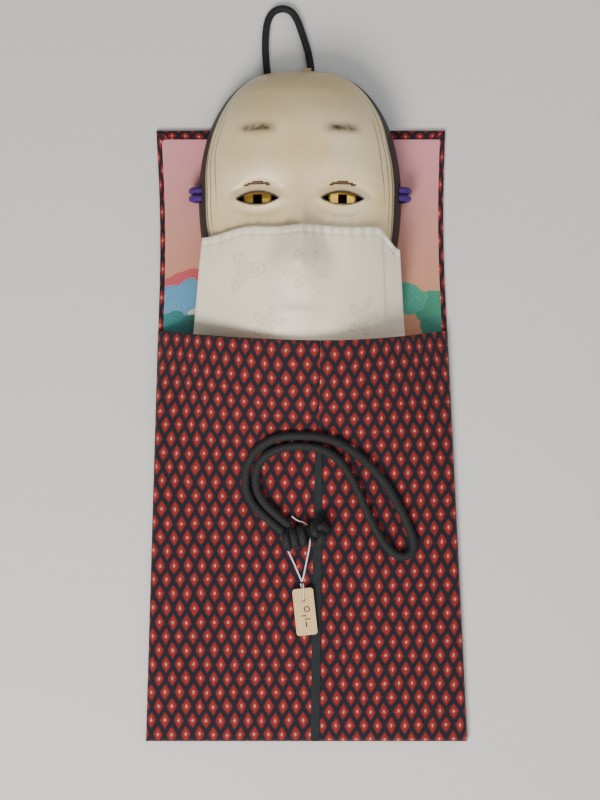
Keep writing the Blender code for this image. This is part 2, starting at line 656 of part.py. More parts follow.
def cut_side(shell, side, label, body):
    """The eye, nostril and cord hole of one side. The eye's seat needs the MANIFOLD solver."""
    opening = prism("eye_opening_" + label, almond(*EYE_OPENING), 0, 2 * MASK_DEPTH, None, body)
    opening.location = Vector((side * EYE[0], EYE[1], 0)) * MM
    room = (EYE_PLATE[0] + 2 * GAP, EYE_PLATE[1] + 4 * GAP)
    seat = eye_slab("eye_seat_" + label, side, room, EYE_LIP, EYE_LIP + MASK_WALL, None, body)
    nostril = ball("nostril_" + label, NOSTRIL_SIZE, (12, 8), None, body)
    nostril.location = Vector((side * NOSTRIL[0], NOSTRIL[1], float(mask_height(*NOSTRIL)))) * MM
    wide = 2 * MASK_CORD + STRANDS_APART + 2 * CORD_HOLE_PLAY
    tall = MASK_CORD + 2 * CORD_HOLE_PLAY
    reach = 2 * MASK_WALL
    passage = prism("cord_hole_" + label, racetrack(wide, tall), -reach, reach, None, body)
    passage.rotation_euler.y = math.pi / 2
    passage.location = Vector((side * MASK_WIDTH / 2, CORD_HOLE_Y, CORD_HOLE_Z)) * MM
    for cutter in (opening, seat, nostril, passage):
        boolean(shell, cutter, solver="MANIFOLD")


def eye_slab(name, side, size, near, far, finish, body):
    """An eye-shaped piece of the mask's own curved front, between two depths under it."""

    def place(s, t, depth):
        arch = 0.25 + 0.75 * max(math.cos(math.pi / 2 * s), 0.0) ** 0.8
        half = size[1] / 2 * arch * (1.0 if t > 0 else 0.85)
        x = side * EYE[0] + s * size[0] / 2
        y = EYE[1] + t * half
        return Vector((x, y, float(mask_height(x, y)) - depth))

    return layer(name, place, near, far, (12, 4), finish, body)


def make_eye_plates(body):
    for side, label in ((-1, "left"), (1, "right")):
        near = EYE_LIP + GAP
        plate = eye_slab("eye_plate_" + label, side, EYE_PLATE[:2], near, near + EYE_PLATE[2], GILT, body)
        pupil = box("pupil_" + label, (PUPIL, PUPIL, 60), None, body)
        pupil.location = Vector((side * EYE[0], EYE[1], MASK_DEPTH)) * MM
        boolean(plate, pupil)


def mask_cord_route(end):
    """Twice out through the hole, down past the rim and back under it, then to the hank's end."""
    wall_out, wall_in = MASK_WIDTH / 2, MASK_WIDTH / 2 - MASK_WALL
    radius = MASK_CORD / 2
    low = radius + 0.1
    out = wall_out + radius + GAP
    inner = wall_in - radius - 2.0
    hole = CORD_HOLE_Z
    apart = MASK_CORD + STRANDS_APART
    near, far = CORD_HOLE_Y - apart / 2, CORD_HOLE_Y + apart / 2
    return [(inner - 9, near - 1.0, hole + 5), (inner - 4.5, near - 0.3, hole + 1.2),
            (wall_in - 1, near, hole), (wall_out + 0.8, near, hole + 0.2), (out + 1.8, near, hole - 4),
            (out + 1.6, near, low + 4.5), (wall_out + 1.2, near, low + 0.3), (wall_in + 2, near, low),
            (inner - 2, near + 0.6, low + 2), (inner - 4.5, near + 2.0, low + 6.5),
            (inner - 5, far - 0.6, hole - 2), (inner - 2.5, far, hole - 0.2), (wall_in, far, hole),
            (wall_out + 0.8, far, hole + 0.2), (out + 1.8, far, hole - 4), (out + 1.6, far, low + 4.5),
            (wall_out + 1.2, far, low + 0.3), (wall_in + 2, far, low), (inner - 6, far, low),
            (end.x + 2.0, end.y + 5.0, low), (end.x, end.y, low)]


def make_mask_cords(body):
    middle = Vector((MASK_WIDTH / 2 - MASK_WALL - HANK_FROM_WALL, HANK_Y, 0))
    turn = Matrix.Rotation(math.radians(HANK_TURN), 3, "Z")
    route = mask_cord_route(middle + turn @ Vector((0, HANK[0] / 2 + GAP, 0)))
    band_wide = HANK[1] + 2 * (HANK_BAND[1] + GAP)
    band_tall = HANK[2] + HANK_BAND[1] + GAP
    for side, label in ((-1, "left"), (1, "right")):
        tube("mask_cord_" + label, [(side * x, y, z) for x, y, z in route], MASK_CORD, CORD_PURPLE, body,
             spacing=0.8)
        hank = prism("mask_cord_hank_" + label, racetrack(HANK[0], HANK[1]), 0.1, HANK[2], CORD_PURPLE, body)
        band = box("hank_band_" + label, (band_wide, HANK_BAND[0], band_tall), CORD_PURPLE, body)
        space = box("hank_space_" + label, (HANK[1] + 2 * GAP, HANK_BAND[0] * 2, band_tall), None, body)
        for thing, height in ((hank, 0), (band, band_tall / 2 + 0.1), (space, band_tall / 2 - HANK_BAND[1])):
            thing.location = Vector((side * middle.x, middle.y, height)) * MM
            thing.rotation_euler.z = side * math.radians(HANK_TURN)
        boolean(band, space)


def make_cloth(body):
    front, wadding, back = CLOTH_LAYERS
    under = front + GAP
    layer("face_cloth_front", cloth_place, 0.0, front, CLOTH_CELLS, SILK_CREAM, body)
    layer("face_cloth_wadding", cloth_place, under, under + wadding, CLOTH_CELLS, WADDING, body)
    layer("face_cloth_back", cloth_place, CLOTH_STACK - back, CLOTH_STACK, CLOTH_CELLS, SILK_CREAM, body)


def make_crown_tab(body):
    tab = box("crown_tab", CROWN_TAB, PAPER, body)
    y = CROWN_REACH - CROWN_TAB[1] / 2
    tab.location = Vector((CROWN_TAB_X, y, rim_lift(1.0) - GAP - CROWN_TAB[2] / 2)) * MM


def make_mask():
    body = empty_at("mask_slide", (MASK_X, MASK_Y, MASK_Z))
    make_shell(body)
    make_eye_plates(body)
    make_mask_cords(body)
    make_cloth(body)
    make_crown_tab(body)


make_bag()
make_bag_cords()
make_tag()
make_mask()
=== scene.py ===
import math

import bmesh
import bpy
import numpy as np
from mathutils import Matrix, Vector


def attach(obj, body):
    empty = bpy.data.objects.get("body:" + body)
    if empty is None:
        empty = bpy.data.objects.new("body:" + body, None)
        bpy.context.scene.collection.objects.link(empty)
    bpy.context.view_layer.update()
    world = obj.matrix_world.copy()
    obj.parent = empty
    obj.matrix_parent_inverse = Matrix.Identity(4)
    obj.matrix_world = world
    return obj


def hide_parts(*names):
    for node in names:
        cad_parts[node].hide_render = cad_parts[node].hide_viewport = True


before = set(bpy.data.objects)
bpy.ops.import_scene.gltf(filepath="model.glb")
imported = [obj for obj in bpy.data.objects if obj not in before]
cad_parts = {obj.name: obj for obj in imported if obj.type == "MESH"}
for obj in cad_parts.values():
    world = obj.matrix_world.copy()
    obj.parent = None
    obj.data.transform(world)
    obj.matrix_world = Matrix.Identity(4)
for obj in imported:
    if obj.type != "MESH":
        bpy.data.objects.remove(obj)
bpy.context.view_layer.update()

mm = 0.001
gap = 0.3


def toLinear(hexText):  # an sRGB hex colour for a shader socket
    parts = [int(hexText[i:i + 2], 16) / 255 for i in (1, 3, 5)]
    return tuple(c / 12.92 if c <= 0.04045 else ((c + 0.055) / 1.055) ** 2.4 for c in parts) + (1.0,)


def addNode(tree, kind, settings=None, links=None):  # a node, its settings, then its sockets or links
    made = tree.nodes.new("ShaderNode" + kind)
    for key, value in (settings or {}).items():
        setattr(made, key, value)
    for key, value in (links or {}).items():
        if isinstance(value, bpy.types.NodeSocket):
            tree.links.new(value, made.inputs[key])
        else:
            made.inputs[key].default_value = value
    return made


def startMaterial(name, roughness, **sockets):  # an empty material with its shader
    material = bpy.data.materials.new(name)
    material.use_nodes = True
    tree = material.node_tree
    shader = tree.nodes["Principled BSDF"]
    shader.inputs["Roughness"].default_value = roughness
    for key, value in sockets.items():
        shader.inputs[key.replace("_", " ")].default_value = value
    return material, tree, shader


def maths(tree, operation, *values):  # the result of one Math node
    return addNode(tree, "Math", {"operation": operation}, dict(enumerate(values))).outputs[0]


def blend(tree, share, low, high):  # a colour between two
    return addNode(tree, "Mix", {"data_type": "RGBA"}, {0: share, 6: low, 7: high}).outputs[2]


def noise(tree, place, scale, detail):
    return addNode(tree, "TexNoise", None, {"Vector": place, "Scale": scale, "Detail": detail})


def emboss(tree, shader, height, strength, distance):  # raises the surface by a texture
    made = addNode(tree, "Bump", None, {"Height": height, "Strength": strength, "Distance": distance})
    tree.links.new(made.outputs[0], shader.inputs["Normal"])


def colourBands(tree, factor, *bands):  # a colour ramp through (position, sRGB hex) pairs
    made = addNode(tree, "ValToRGB", None, {0: factor})
    stops = made.color_ramp.elements
    stops[0].position, stops[0].color = bands[0][0], toLinear(bands[0][1])
    stops[1].position, stops[1].color = bands[-1][0], toLinear(bands[-1][1])
    for position, colour in bands[1:-1]:
        stops.new(position).color = toLinear(colour)
    return made.outputs[0]


def wears(piece, body, slot, *nodes):  # what a new piece rides on and the pieces it stands for; slot is not used
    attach(piece, body)
    if nodes:
        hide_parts(*nodes)
    return piece


def gridValue(xs, ys, step, height):  # a height between the points of a square grid
    def value(x, y):
        i = np.clip((y - ys[0]) / step, 0, len(ys) - 1.001)
        j = np.clip((x - xs[0]) / step, 0, len(xs) - 1.001)
        a, b = i.astype(int), j.astype(int)
        low = height[a, b] * (1 - j + b) + height[a, b + 1] * (j - b)
        high = height[a + 1, b] * (1 - j + b) + height[a + 1, b + 1] * (j - b)
        return low * (1 - i + a) + high * (i - a)
    return value


def curveThrough(points):  # smooth through the points, without overshoot, level outside them
    xs, ys = (np.array(column, float) for column in zip(*points))
    steps = np.diff(ys) / np.diff(xs)
    slopes = np.zeros(len(xs))
    for i in range(1, len(xs) - 1):
        if steps[i - 1] * steps[i] > 0:
            slopes[i] = 2 * steps[i - 1] * steps[i] / (steps[i - 1] + steps[i])
    slopes[0], slopes[-1] = steps[0], steps[-1]

    def value(x):
        x = np.clip(x, xs[0], xs[-1])
        i = np.clip(np.searchsorted(xs, x) - 1, 0, len(xs) - 2)
        span = xs[i + 1] - xs[i]
        t = (x - xs[i]) / span
        height = ys[i] + (ys[i + 1] - ys[i]) * t * t * (3 - 2 * t)
        return height + span * t * (1 - t) * (slopes[i] * (1 - t) - slopes[i + 1] * t)

    return value


def ramp(low, high, x):
    t = np.clip((x - low) / (high - low), 0, 1)
    return t * t * (3 - 2 * t)


def bump(x, centre, spread):
    return np.exp(-(((x - centre) / spread) ** 2))


# Camera, lights and floor
view = {"aim": (-4.5, 3.5), "height": 1050.0, "lens": 68.5, "floor": 3000.0}
camera = bpy.data.objects.new("camera", bpy.data.cameras.new("camera"))
bpy.context.scene.collection.objects.link(camera)
camera.location = Vector((view["aim"][0], view["aim"][1], view["height"])) * mm
camera.data.lens = view["lens"]
camera.data.sensor_width = 36.0
bpy.context.scene.camera = camera


def areaLight(name, place, size, power, tint):  # a square lamp that faces the origin
    lamp = bpy.data.objects.new(name, bpy.data.lights.new(name, "AREA"))
    bpy.context.scene.collection.objects.link(lamp)
    lamp.data.size = size
    lamp.data.energy = power
    lamp.data.color = tint
    lamp.location = Vector(place)
    lamp.rotation_euler = (-Vector(place)).to_track_quat("-Z", "Y").to_euler()


areaLight("key", (-0.4, -0.8, 1.05), 0.6, 23.0, (1.0, 0.955, 0.89))
areaLight("fill", (0.8, 0.5, 1.0), 1.0, 4.5, (0.93, 0.96, 1.0))
areaLight("top", (0.1, -0.2, 1.6), 1.2, 5.0, (1.0, 1.0, 1.0))
world = bpy.data.worlds.new("studio")
world.use_nodes = True
world.node_tree.nodes["Background"].inputs["Color"].default_value = toLinear("#dfe2e6")
world.node_tree.nodes["Background"].inputs["Strength"].default_value = 0.3
bpy.context.scene.world = world

bpy.ops.object.select_all(action="DESELECT")
bpy.ops.mesh.primitive_plane_add(size=view["floor"] * mm)
floor = bpy.context.object
floor.name = "floor"
paint, tree, shader = startMaterial("matt paper backdrop", 0.8)
shader.inputs["Base Color"].default_value = toLinear("#d9d8d5")
floor.data.materials.append(paint)
print("stage set")

# The surfaces that the pieces lie on, in millimetres
mask = {"length": 212.0, "width": 138.0, "depth": 50.0, "wall": 8.0, "x": -4.5, "y": 123.0, "z": 3.7,
        "widest": 0.14, "upper": 2.4, "lower": (2.2, 1.35), "section": 2.4, "reliefFade": (0.15, 0.6),
        "cordY": 20.0, "notch": 5.8, "notchSpread": 22.0, "crownLift": 3.5, "liftFrom": (0.72, 0.92)}
crest = curveThrough([(-1.0, 0.0), (-0.955, 0.46), (-0.87, 0.74), (-0.77, 0.86), (-0.62, 0.9), (-0.45, 0.95),
                      (-0.25, 0.99), (0.06, 1.0), (0.3, 1.04), (0.57, 1.0), (0.8, 0.8), (0.94, 0.46), (1.0,
                          0.0)])
noseHeight = curveThrough([(-1.0, 0.0), (-0.41, 0.0), (-0.37, 4.0), (-0.325, 15.0), (-0.285, 17.5),
                           (-0.2, 14.0),
                           (-0.03, 7.0), (0.15, 1.5), (0.26, 0.0), (1.0, 0.0)])
noseSpread = curveThrough([(-1.0, 8.5), (-0.32, 8.5), (-0.08, 6.0), (0.16, 5.0), (1.0, 5.0)])
faceForms = [  # across, along, spread across, spread along, height
    (0.406, 0.133, 0.23, 0.1, -5.0),  # eye socket
    (0.406, 0.123, 0.2, 0.055, 3.5),  # eyelids
    (0.37, 0.33, 0.3, 0.09, 1.5),  # brow
    (0.55, -0.2, 0.26, 0.19, 2.5),  # cheek
    (0.13, -0.315, 0.07, 0.045, 4.0),  # wing of the nose
    (0.0, -0.53, 0.38, 0.14, 2.5),  # round of the mouth
    (0.0, -0.475, 0.24, 0.038, 3.5),  # upper lip
    (0.0, -0.53, 0.25, 0.022, -5.0),  # parting of the lips
    (0.0, -0.58, 0.2, 0.042, 4.5),  # lower lip
    (0.0, -0.67, 0.22, 0.05, -2.5),  # hollow under the lip
    (0.0, -0.81, 0.26, 0.1, 2.5),  # chin
]


def outline(v):  # the mask's half width at v, as a share of the largest
    above = np.clip((v - mask["widest"]) / (1 - mask["widest"]), 0, 1)
    below = np.clip((mask["widest"] - v) / (1 + mask["widest"]), 0, 1)
    top = (1 - above ** mask["upper"]) ** (1 / mask["upper"])
    return top * (1 - below ** mask["lower"][0]) ** (1 / mask["lower"][1])


def rimLift(v):
    atCord = bump(v * mask["length"] / 2, mask["cordY"], mask["notchSpread"])
    return mask["notch"] * atCord + mask["crownLift"] * ramp(*mask["liftFrom"], v)


def relief(u, v):
    side = np.abs(u)
    height = noseHeight(v) * bump(side, 0, noseSpread(v) / (mask["width"] / 2))
    for across, along, wide, long, high in faceForms:
        height = height + high * bump(side, across, wide) * bump(v, along, long)
    return height


def formHeight(v, share, scale=1.0):
    lift = rimLift(v)
    return lift + crest(v) * (mask["depth"] * scale - lift) * share


def maskHeight(x, y):  # the face's height at x, y from the mask's middle
    v = np.clip(y / (mask["length"] / 2), -1, 1)
    half = np.maximum(outline(v) * mask["width"] / 2, 1e-6)
    share = np.sqrt(np.clip(1 - (np.abs(x) / half) ** mask["section"], 0, 1))
    height = formHeight(v, share) + relief(x / (mask["width"] / 2), v) * ramp(*mask["reliefFade"], share)
    return np.where((np.abs(x) < half) & (np.abs(y) < mask["length"] / 2), height, 0.0)


def stretchedHeight(slope=1.0, step=2.5, margin=40, reach=60):  # a sheet over the mask, no steeper than slope
    xs = np.arange(-mask["width"] / 2 - margin, mask["width"] / 2 + margin, step)
    ys = np.arange(-mask["length"] / 2 - margin, margin, step)
    height = maskHeight(xs[None, :], ys[:, None])
    neighbours = [(down, across) for down in range(3) for across in range(3)]
    for once in range(reach + 1):
        wider = np.pad(height, 1, mode="edge")
        for down, across in neighbours:
            run = step * math.hypot(down - 1, across - 1)
            shifted = wider[down:down + len(ys), across:across + len(xs)]
            height = np.maximum(height, shifted - (slope * run if once else 0.0))
    return gridValue(xs, ys, step, height)


clothBase = stretchedHeight()
cloth = {"layers": (0.5, 1.0, 0.5), "clearance": 1.6, "left": (-3.5, 10.0), "right": (-2.0, 7.0),
         "belowEyes": 18.5, "pastChin": 13.0, "corner": (5.0, 13.0), "eyeY": 13.0}
clothStack = sum(cloth["layers"]) + 2 * gap


def clothHeight(x, y):
    return clothBase(x, y) + cloth["clearance"] + clothStack


bag = {"layers": (0.7, 1.6, 0.5), "pocket": 282.0, "flap": 138.0, "width": 221.0, "mouth": 199.0,
       "hollow": 2.0,
       "lean": 4.0, "dip": 8.5, "clearance": 0.8, "seam": (5.8, 9.0), "bottom": -231.0,
       "tape": (6.0, 0.6), "tapeStart": 1.0, "tapeLength": 205.0}
bagStack = sum(bag["layers"]) + 2 * gap
edgeHeight = 2 * bagStack + gap
mouthY = bag["bottom"] + bag["pocket"]
flapTop = mouthY + bag["flap"]
rise = curveThrough([(0.0, 0.0), (0.06, 0.03), (0.3, 0.085), (0.45, 0.12), (0.58, 0.18), (0.72, 0.37),
                     (0.885, 0.81), (0.94, 0.94), (0.97, 1.0), (1.0, 1.04)])


def bagMiddle(y):
    return -bag["lean"] * (y - bag["bottom"]) / (flapTop - bag["bottom"])


def bagHalf(y):
    along = np.clip((y - bag["bottom"]) / bag["pocket"], 0, 1)
    past = np.clip((y - mouthY) / bag["flap"], 0, 1)
    return (bag["width"] + (bag["mouth"] - bag["width"]) * along) / 2 - bag["hollow"] * np.sin(math.pi * past)


def panelShare(x, y):
    turn = np.clip((x - bagMiddle(y)) / bagHalf(y), -1, 1)
    return rise((y - bag["bottom"]) / bag["pocket"]) * np.cos(math.pi / 2 * turn)


def mouthHeight():  # high enough that the panel clears the cloth everywhere
    y, x = np.meshgrid(np.arange(mask["y"] - mask["length"] / 2 - cloth["pastChin"], mouthY, 2.0),
                       np.arange(mask["x"] - mask["width"] / 2, mask["x"] + mask["width"] / 2, 4.0))
    over = mask["z"] + bag["clearance"] + bagStack + gap - edgeHeight
    return edgeHeight + float(np.max((clothHeight(x - mask["x"], y - mask["y"]) + over) / panelShare(x, y)))


mouthTop = mouthHeight()


def panelHeight(x, y):
    return edgeHeight + (mouthTop - edgeHeight) * panelShare(x, y)


def panelPoint(x, y, depth):  # under the front panel's outside, along its normal
    small = 0.5
    fallX = (panelHeight(x + small, y) - panelHeight(x - small, y)) / (2 * small)
    fallY = (panelHeight(x, y + small) - panelHeight(x, y - small)) / (2 * small)
    long = np.sqrt(fallX**2 + fallY**2 + 1)
    return np.stack([x + fallX * depth / long, y + fallY * depth / long, panelHeight(x, y) - depth / long],
                    -1)


def onPanel(x, y, lift):
    return tuple(panelPoint(np.array(float(x)), np.array(float(y)), -lift))


def seamX(y):
    return bag["seam"][0] + (bag["seam"][1] - bag["seam"][0]) * (y - bag["bottom"]) / bag["pocket"]


def wander(x, y, scale, seed):  # a slow unevenness from -1 to 1, the same in every run
    rng = np.random.default_rng(seed)
    total = 0.0
    for _ in range(7):
        turn, phase, size = rng.uniform(0, math.tau), rng.uniform(0, math.tau), rng.uniform(0.6, 1.8) / scale
        total = total + np.sin((x * math.cos(turn) + y * math.sin(turn)) * size * math.tau + phase)
    return total / 7 * 1.6


def smoothRoute(points, spacing):  # evenly spaced points on one smooth curve
    points = np.array(points, float)
    ends = np.vstack([2 * points[0] - points[1], points, 2 * points[-1] - points[-2]])
    fine = []
    t = np.arange(24)[:, None] / 24
    for a, b, c, d in zip(ends, ends[1:], ends[2:], ends[3:]):
        fine.append(0.5 * (2 * b + (c - a) * t + (2 * a - 5 * b + 4 * c - d) * t * t
                           + (3 * b - a - 3 * c + d) * t**3))
    fine = np.vstack(fine + [points[-1:]])
    along = np.concatenate([[0], np.cumsum(np.linalg.norm(np.diff(fine, axis=0), axis=1))])
    count = max(2, round(along[-1] / spacing)) + 1
    places = np.linspace(0, along[-1], count)
    return np.stack([np.interp(places, along, fine[:, axis]) for axis in range(3)], -1), places


def tubeAround(name, points, diameter, spacing, sides, shape, material):
    # a tube whose skin follows shape(angle, distance along), closed by round ends
    route, along = smoothRoute(points, spacing)
    tangent = np.gradient(route, axis=0)
    tangent /= np.linalg.norm(tangent, axis=1)[:, None]
    side = np.cross(tangent[0], (0.3, 0.2, 1.0))
    normals = []
    for direction in tangent:
        side = side - direction * (side @ direction)
        side = side / np.linalg.norm(side)
        normals.append(side)
    normals = np.array(normals)
    other = np.cross(tangent, normals)
    angles = np.arange(sides) / sides * math.tau
    radius = diameter / 2 * shape(angles[None, :], along[:, None])
    total = along[-1]
    ends = np.minimum(along, total - along) / (diameter / 2)
    radius = radius * np.sqrt(np.clip(1 - np.clip(1 - ends, 0, 1) ** 2, 0.02, 1))[:, None]
    skin = (route[:, None, :] + normals[:, None, :] * (radius * np.cos(angles))[:, :, None]
            + other[:, None, :] * (radius * np.sin(angles))[:, :, None])
    bpy.ops.object.select_all(action="DESELECT")
    bpy.ops.mesh.primitive_cylinder_add(vertices=sides, end_fill_type="NGON")
    piece = bpy.context.object
    piece.name = piece.data.name = name
    count = len(route)
    ring = np.arange(count)[:, None] * sides + np.arange(sides)[None, :]
    nextRing = np.roll(ring, -1, axis=1)
    faces = np.stack([ring[:-1], nextRing[:-1], nextRing[1:], ring[1:]], -1).reshape(-1, 4).tolist()
    faces += [list(range(sides))[::-1], [(count - 1) * sides + k for k in range(sides)]]
    piece.data.clear_geometry()
    piece.data.from_pydata((skin.reshape(-1, 3) * mm).tolist(), [], faces)
    layer = piece.data.uv_layers.new(name="lay")
    loops = np.empty(len(piece.data.loops), int)
    piece.data.loops.foreach_get("vertex_index", loops)
    flat = np.stack([np.tile(angles / math.tau * diameter * math.pi, count), np.repeat(along, sides)], -1)
    layer.data.foreach_set("uv", flat[loops].ravel())
    piece.data.shade_smooth()
    piece.data.materials.append(material)
    path = [tuple(point * mm) for point in route[::max(1, count // 200)]] + [tuple(route[-1] * mm)]
    return piece, path, total * mm


def braided(strands, lay, deep):  # strands that cross over and under each other round the cord
    def shape(angle, along):
        a = (angle / math.tau * strands + along / lay * strands / 2) % strands
        b = (angle / math.tau * strands - along / lay * strands / 2) % strands
        over = (np.floor(a) + np.floor(b)) % 2 == 0
        across = np.where(over, a % 1, b % 1) * 2 - 1
        lengthwise = np.where(over, b % 1, a % 1) * 2 - 1
        return 1 - deep * (0.75 * across**2 + 0.35 * lengthwise**2)
    return shape


def twisted(plies, lay, deep):  # plies laid round each other
    def shape(angle, along):
        return 1 - deep * (1 - np.abs(np.cos(angle * plies / 2 + along / lay * math.pi * plies / 2)))
    return shape


def cordMaterial(name, base, lit, fibre, sheen):  # yarn: fine fibres along the cord's lay, a soft sheen
    material, tree, shader = startMaterial(name, 0.72, Sheen_Weight=sheen, Sheen_Roughness=0.45)
    lay = addNode(tree, "UVMap", {"uv_map": "lay"})
    stretched = addNode(tree, "Mapping", None, {"Vector": lay.outputs[0], "Scale": (1 / fibre, 0.35 / fibre,
        1)})
    fibres = noise(tree, stretched.outputs[0], 1.0, 4.0)
    # painted light: each fibre is coloured between a shaded colour and a lit colour
    colour = blend(tree, fibres.outputs[0], toLinear(base), toLinear(lit))
    emboss(tree, shader, fibres.outputs[0], 0.5, 0.0002)
    tree.links.new(colour, shader.inputs["Base Color"])
    return material


# Worsted cotton yarn dyed black: nearly black green, with paler fibres painted in as highlights
blackCord = cordMaterial("black braided cotton cord", "#030506", "#111817", 0.35, 0.08)
# Reeled silk dyed violet: deep, with a brighter edge where the light runs along the fibres
purpleCord = cordMaterial("violet braided silk cord", "#22003c", "#4b0a8c", 0.3, 0.12)
# Bleached cotton twist: bright and matt, with painted grey shade mixed among its fibres
whiteString = cordMaterial("bleached cotton string", "#c9cad2", "#f4f4f6", 0.2, 0.2)

tie = {"cord": 6.0, "wrap": (-7.0, -89.0), "wrapSize": (22.0, 16.0, 12.0), "knob": (8.0, -84.5),
       "knobSize": (14.0, 19.5, 14.0), "string": 1.0}
stringLift = gap + bag["tape"][1] + gap + tie["string"] / 2
knotLift = stringLift + tie["string"] / 2 + gap
tieRoute = [
    (-20.6, -81.6, 1.0), (-27.3, -76.0, 0.4), (-35.5, -67.5, 0.2), (-40.0, -58.5, 0.0), (-41.0, -49.8, 0.0),
    (-39.6, -40.2, 0.0), (-34.6, -31.0, 0.0), (-26.6, -23.8, 0.0), (-17.0, -20.0, 0.2), (-5.8, -18.8, 0.5),
    (5.4, -19.2, 1.0), (15.7, -21.6, 0.7), (26.2, -27.3, 0.0), (35.7, -34.4, 0.0), (45.3, -43.6, 0.0),
    (53.0, -53.2, 0.0), (59.4, -63.9, 0.0), (65.2, -74.4, 0.0), (70.2, -86.0, 0.0), (72.4, -94.6, 0.0),
    (70.6, -100.6, 0.0), (65.2, -103.0, 0.0), (58.6, -100.4, 0.0), (52.4, -93.5, 0.0), (47.0, -84.8, 0.0),
    (41.7, -74.3, 0.0), (36.9, -63.7, 0.0), (32.1, -53.1, 0.0), (27.0, -43.8, 0.0), (20.6, -35.6, 0.3),
    (13.9, -30.3, 0.9), (6.0, -27.2, 1.0), (-3.2, -26.0, 0.6), (-12.6, -26.8, 0.2), (-21.9, -29.8, 0.0),
    (-29.0, -34.8, 0.0), (-33.2, -41.9, 0.0), (-34.2, -50.6, 0.0), (-32.6, -58.6, 0.0), (-27.9, -66.4, 0.2),
    (-21.6, -72.6, 0.6), (-15.6, -77.8, 1.0),
]
rest = tie["cord"] / 2 + gap
tieEnds = [(-14.5, -86.0, 2.2)], [(-10.5, -82.0, 2.2)]  # where the two legs go into the knot
tiePoints = [onPanel(x, y, rest + lift) for x, y, lift in tieEnds[0] + tieRoute + tieEnds[1]]
tieCord, tiePath, tieLength = tubeAround("tieCord", tiePoints, tie["cord"], 0.55, 40, braided(8, 12.0, 0.3),
                                         blackCord)
wears(tieCord, "bag", "black_cord", "tie_cord")

# The knot: three turns of the cord round its own two legs, and a round knob beside them
turns, steps = 3, 44
wrapX, wrapY = tie["wrap"]
wrapPoints = []
for k in range(turns * steps + 1):
    angle = k / steps * math.tau
    slide = (k / (turns * steps) - 0.5) * (tie["wrapSize"][0] - tie["cord"])
    centre = onPanel(wrapX + slide, wrapY + 0.25 * slide, knotLift + tie["wrapSize"][2] / 2)
    wrapPoints.append((centre[0], centre[1] + (tie["wrapSize"][1] - tie["cord"]) / 2 * math.cos(angle),
                       centre[2] + (tie["wrapSize"][2] - tie["cord"]) / 2 * math.sin(angle)))
knotWrap = tubeAround("knotWrap", wrapPoints, tie["cord"] * 0.97, 0.55, 40, braided(8, 12.0, 0.3),
                      blackCord)[0]
knobCentre = onPanel(*tie["knob"], knotLift + tie["knobSize"][2] / 2)
knobPoints = []
for k in range(2 * steps + 1):
    t = k / steps * math.tau
    out = 1 + 0.55 * math.cos(1.5 * t)
    knobPoints.append((knobCentre[0] + (tie["knobSize"][0] - 5) / 3.1 * out * math.cos(t),
                       knobCentre[1] + (tie["knobSize"][1] - 5) / 3.1 * out * math.sin(t),
                       knobCentre[2] + (tie["knobSize"][2] - 5) / 2.4 * math.sin(1.5 * t)))
knotKnob = tubeAround("knotKnob", knobPoints, tie["cord"] * 0.9, 0.55, 40, braided(8, 12.0, 0.3),
                      blackCord)[0]
for knot in (knotWrap, knotKnob):
    wears(knot, "bag", "black_cord", "tie_knot")

loop = {"cord": 5.2, "route": [
    (-17.5, 190.6), (-19.0, 198.0), (-22.6, 210.0), (-26.0, 223.0), (-27.8, 236.4), (-28.4, 248.1),
    (-27.6, 259.8), (-25.4, 267.0), (-21.4, 271.2), (-16.0, 272.6), (-10.6, 270.6), (-6.8, 265.4),
    (-4.0, 258.4), (-1.4, 250.6), (1.4, 241.3), (3.0, 230.0), (1.6, 216.0), (-3.6, 203.0), (-8.6, 196.0),
    (-10.8, 190.6)]}
loopPoints = [(x, y, loop["cord"] / 2 + 0.1) for x, y in loop["route"]]
flapLoop, loopPath, loopLength = tubeAround("flapLoop", loopPoints, loop["cord"], 0.55, 36,
                                            braided(8, 10.5, 0.3),
                                            blackCord)
wears(flapLoop, "bag", "black_cord", "flap_loop")

tagHangs = (-3.2, -119.6)
stringRoute = [
    (-10.1, -74.9), (-8.6, -76.4), (-5.6, -78.4), (-1.8, -79.6), (0.9, -82.4), (2.0, -87.0), (2.1, -94.8),
    (0.4, -104.0), (-1.4, -113.0), (-2.5, -118.0), tagHangs, (-4.1, -118.0), (-6.6, -112.0),
    (-10.6, -103.0), (-14.8, -94.0), (-15.2, -90.4), (-13.4, -87.2), (-11.6, -84.6),
]
stringPoints = [onPanel(x, y, stringLift) for x, y in stringRoute]
tagString, stringPath, stringLength = tubeAround("tagString", stringPoints, tie["string"] * 1.15, 0.3, 16,
                                                 twisted(3, 2.4, 0.25), whiteString)
wears(tagString, "tag_string", "white_string", "tag_string")

# Each side cord passes its hole twice, then lies in a hank in the hollow
sideCord = {"cord": 4.6, "apart": 0.6, "holeY": 20.0, "holeZ": 15.5, "hank": (76.0, 28.4, 9.6),
            "hankFromWall": 26.0, "hankY": -24.0, "turn": -12.0}


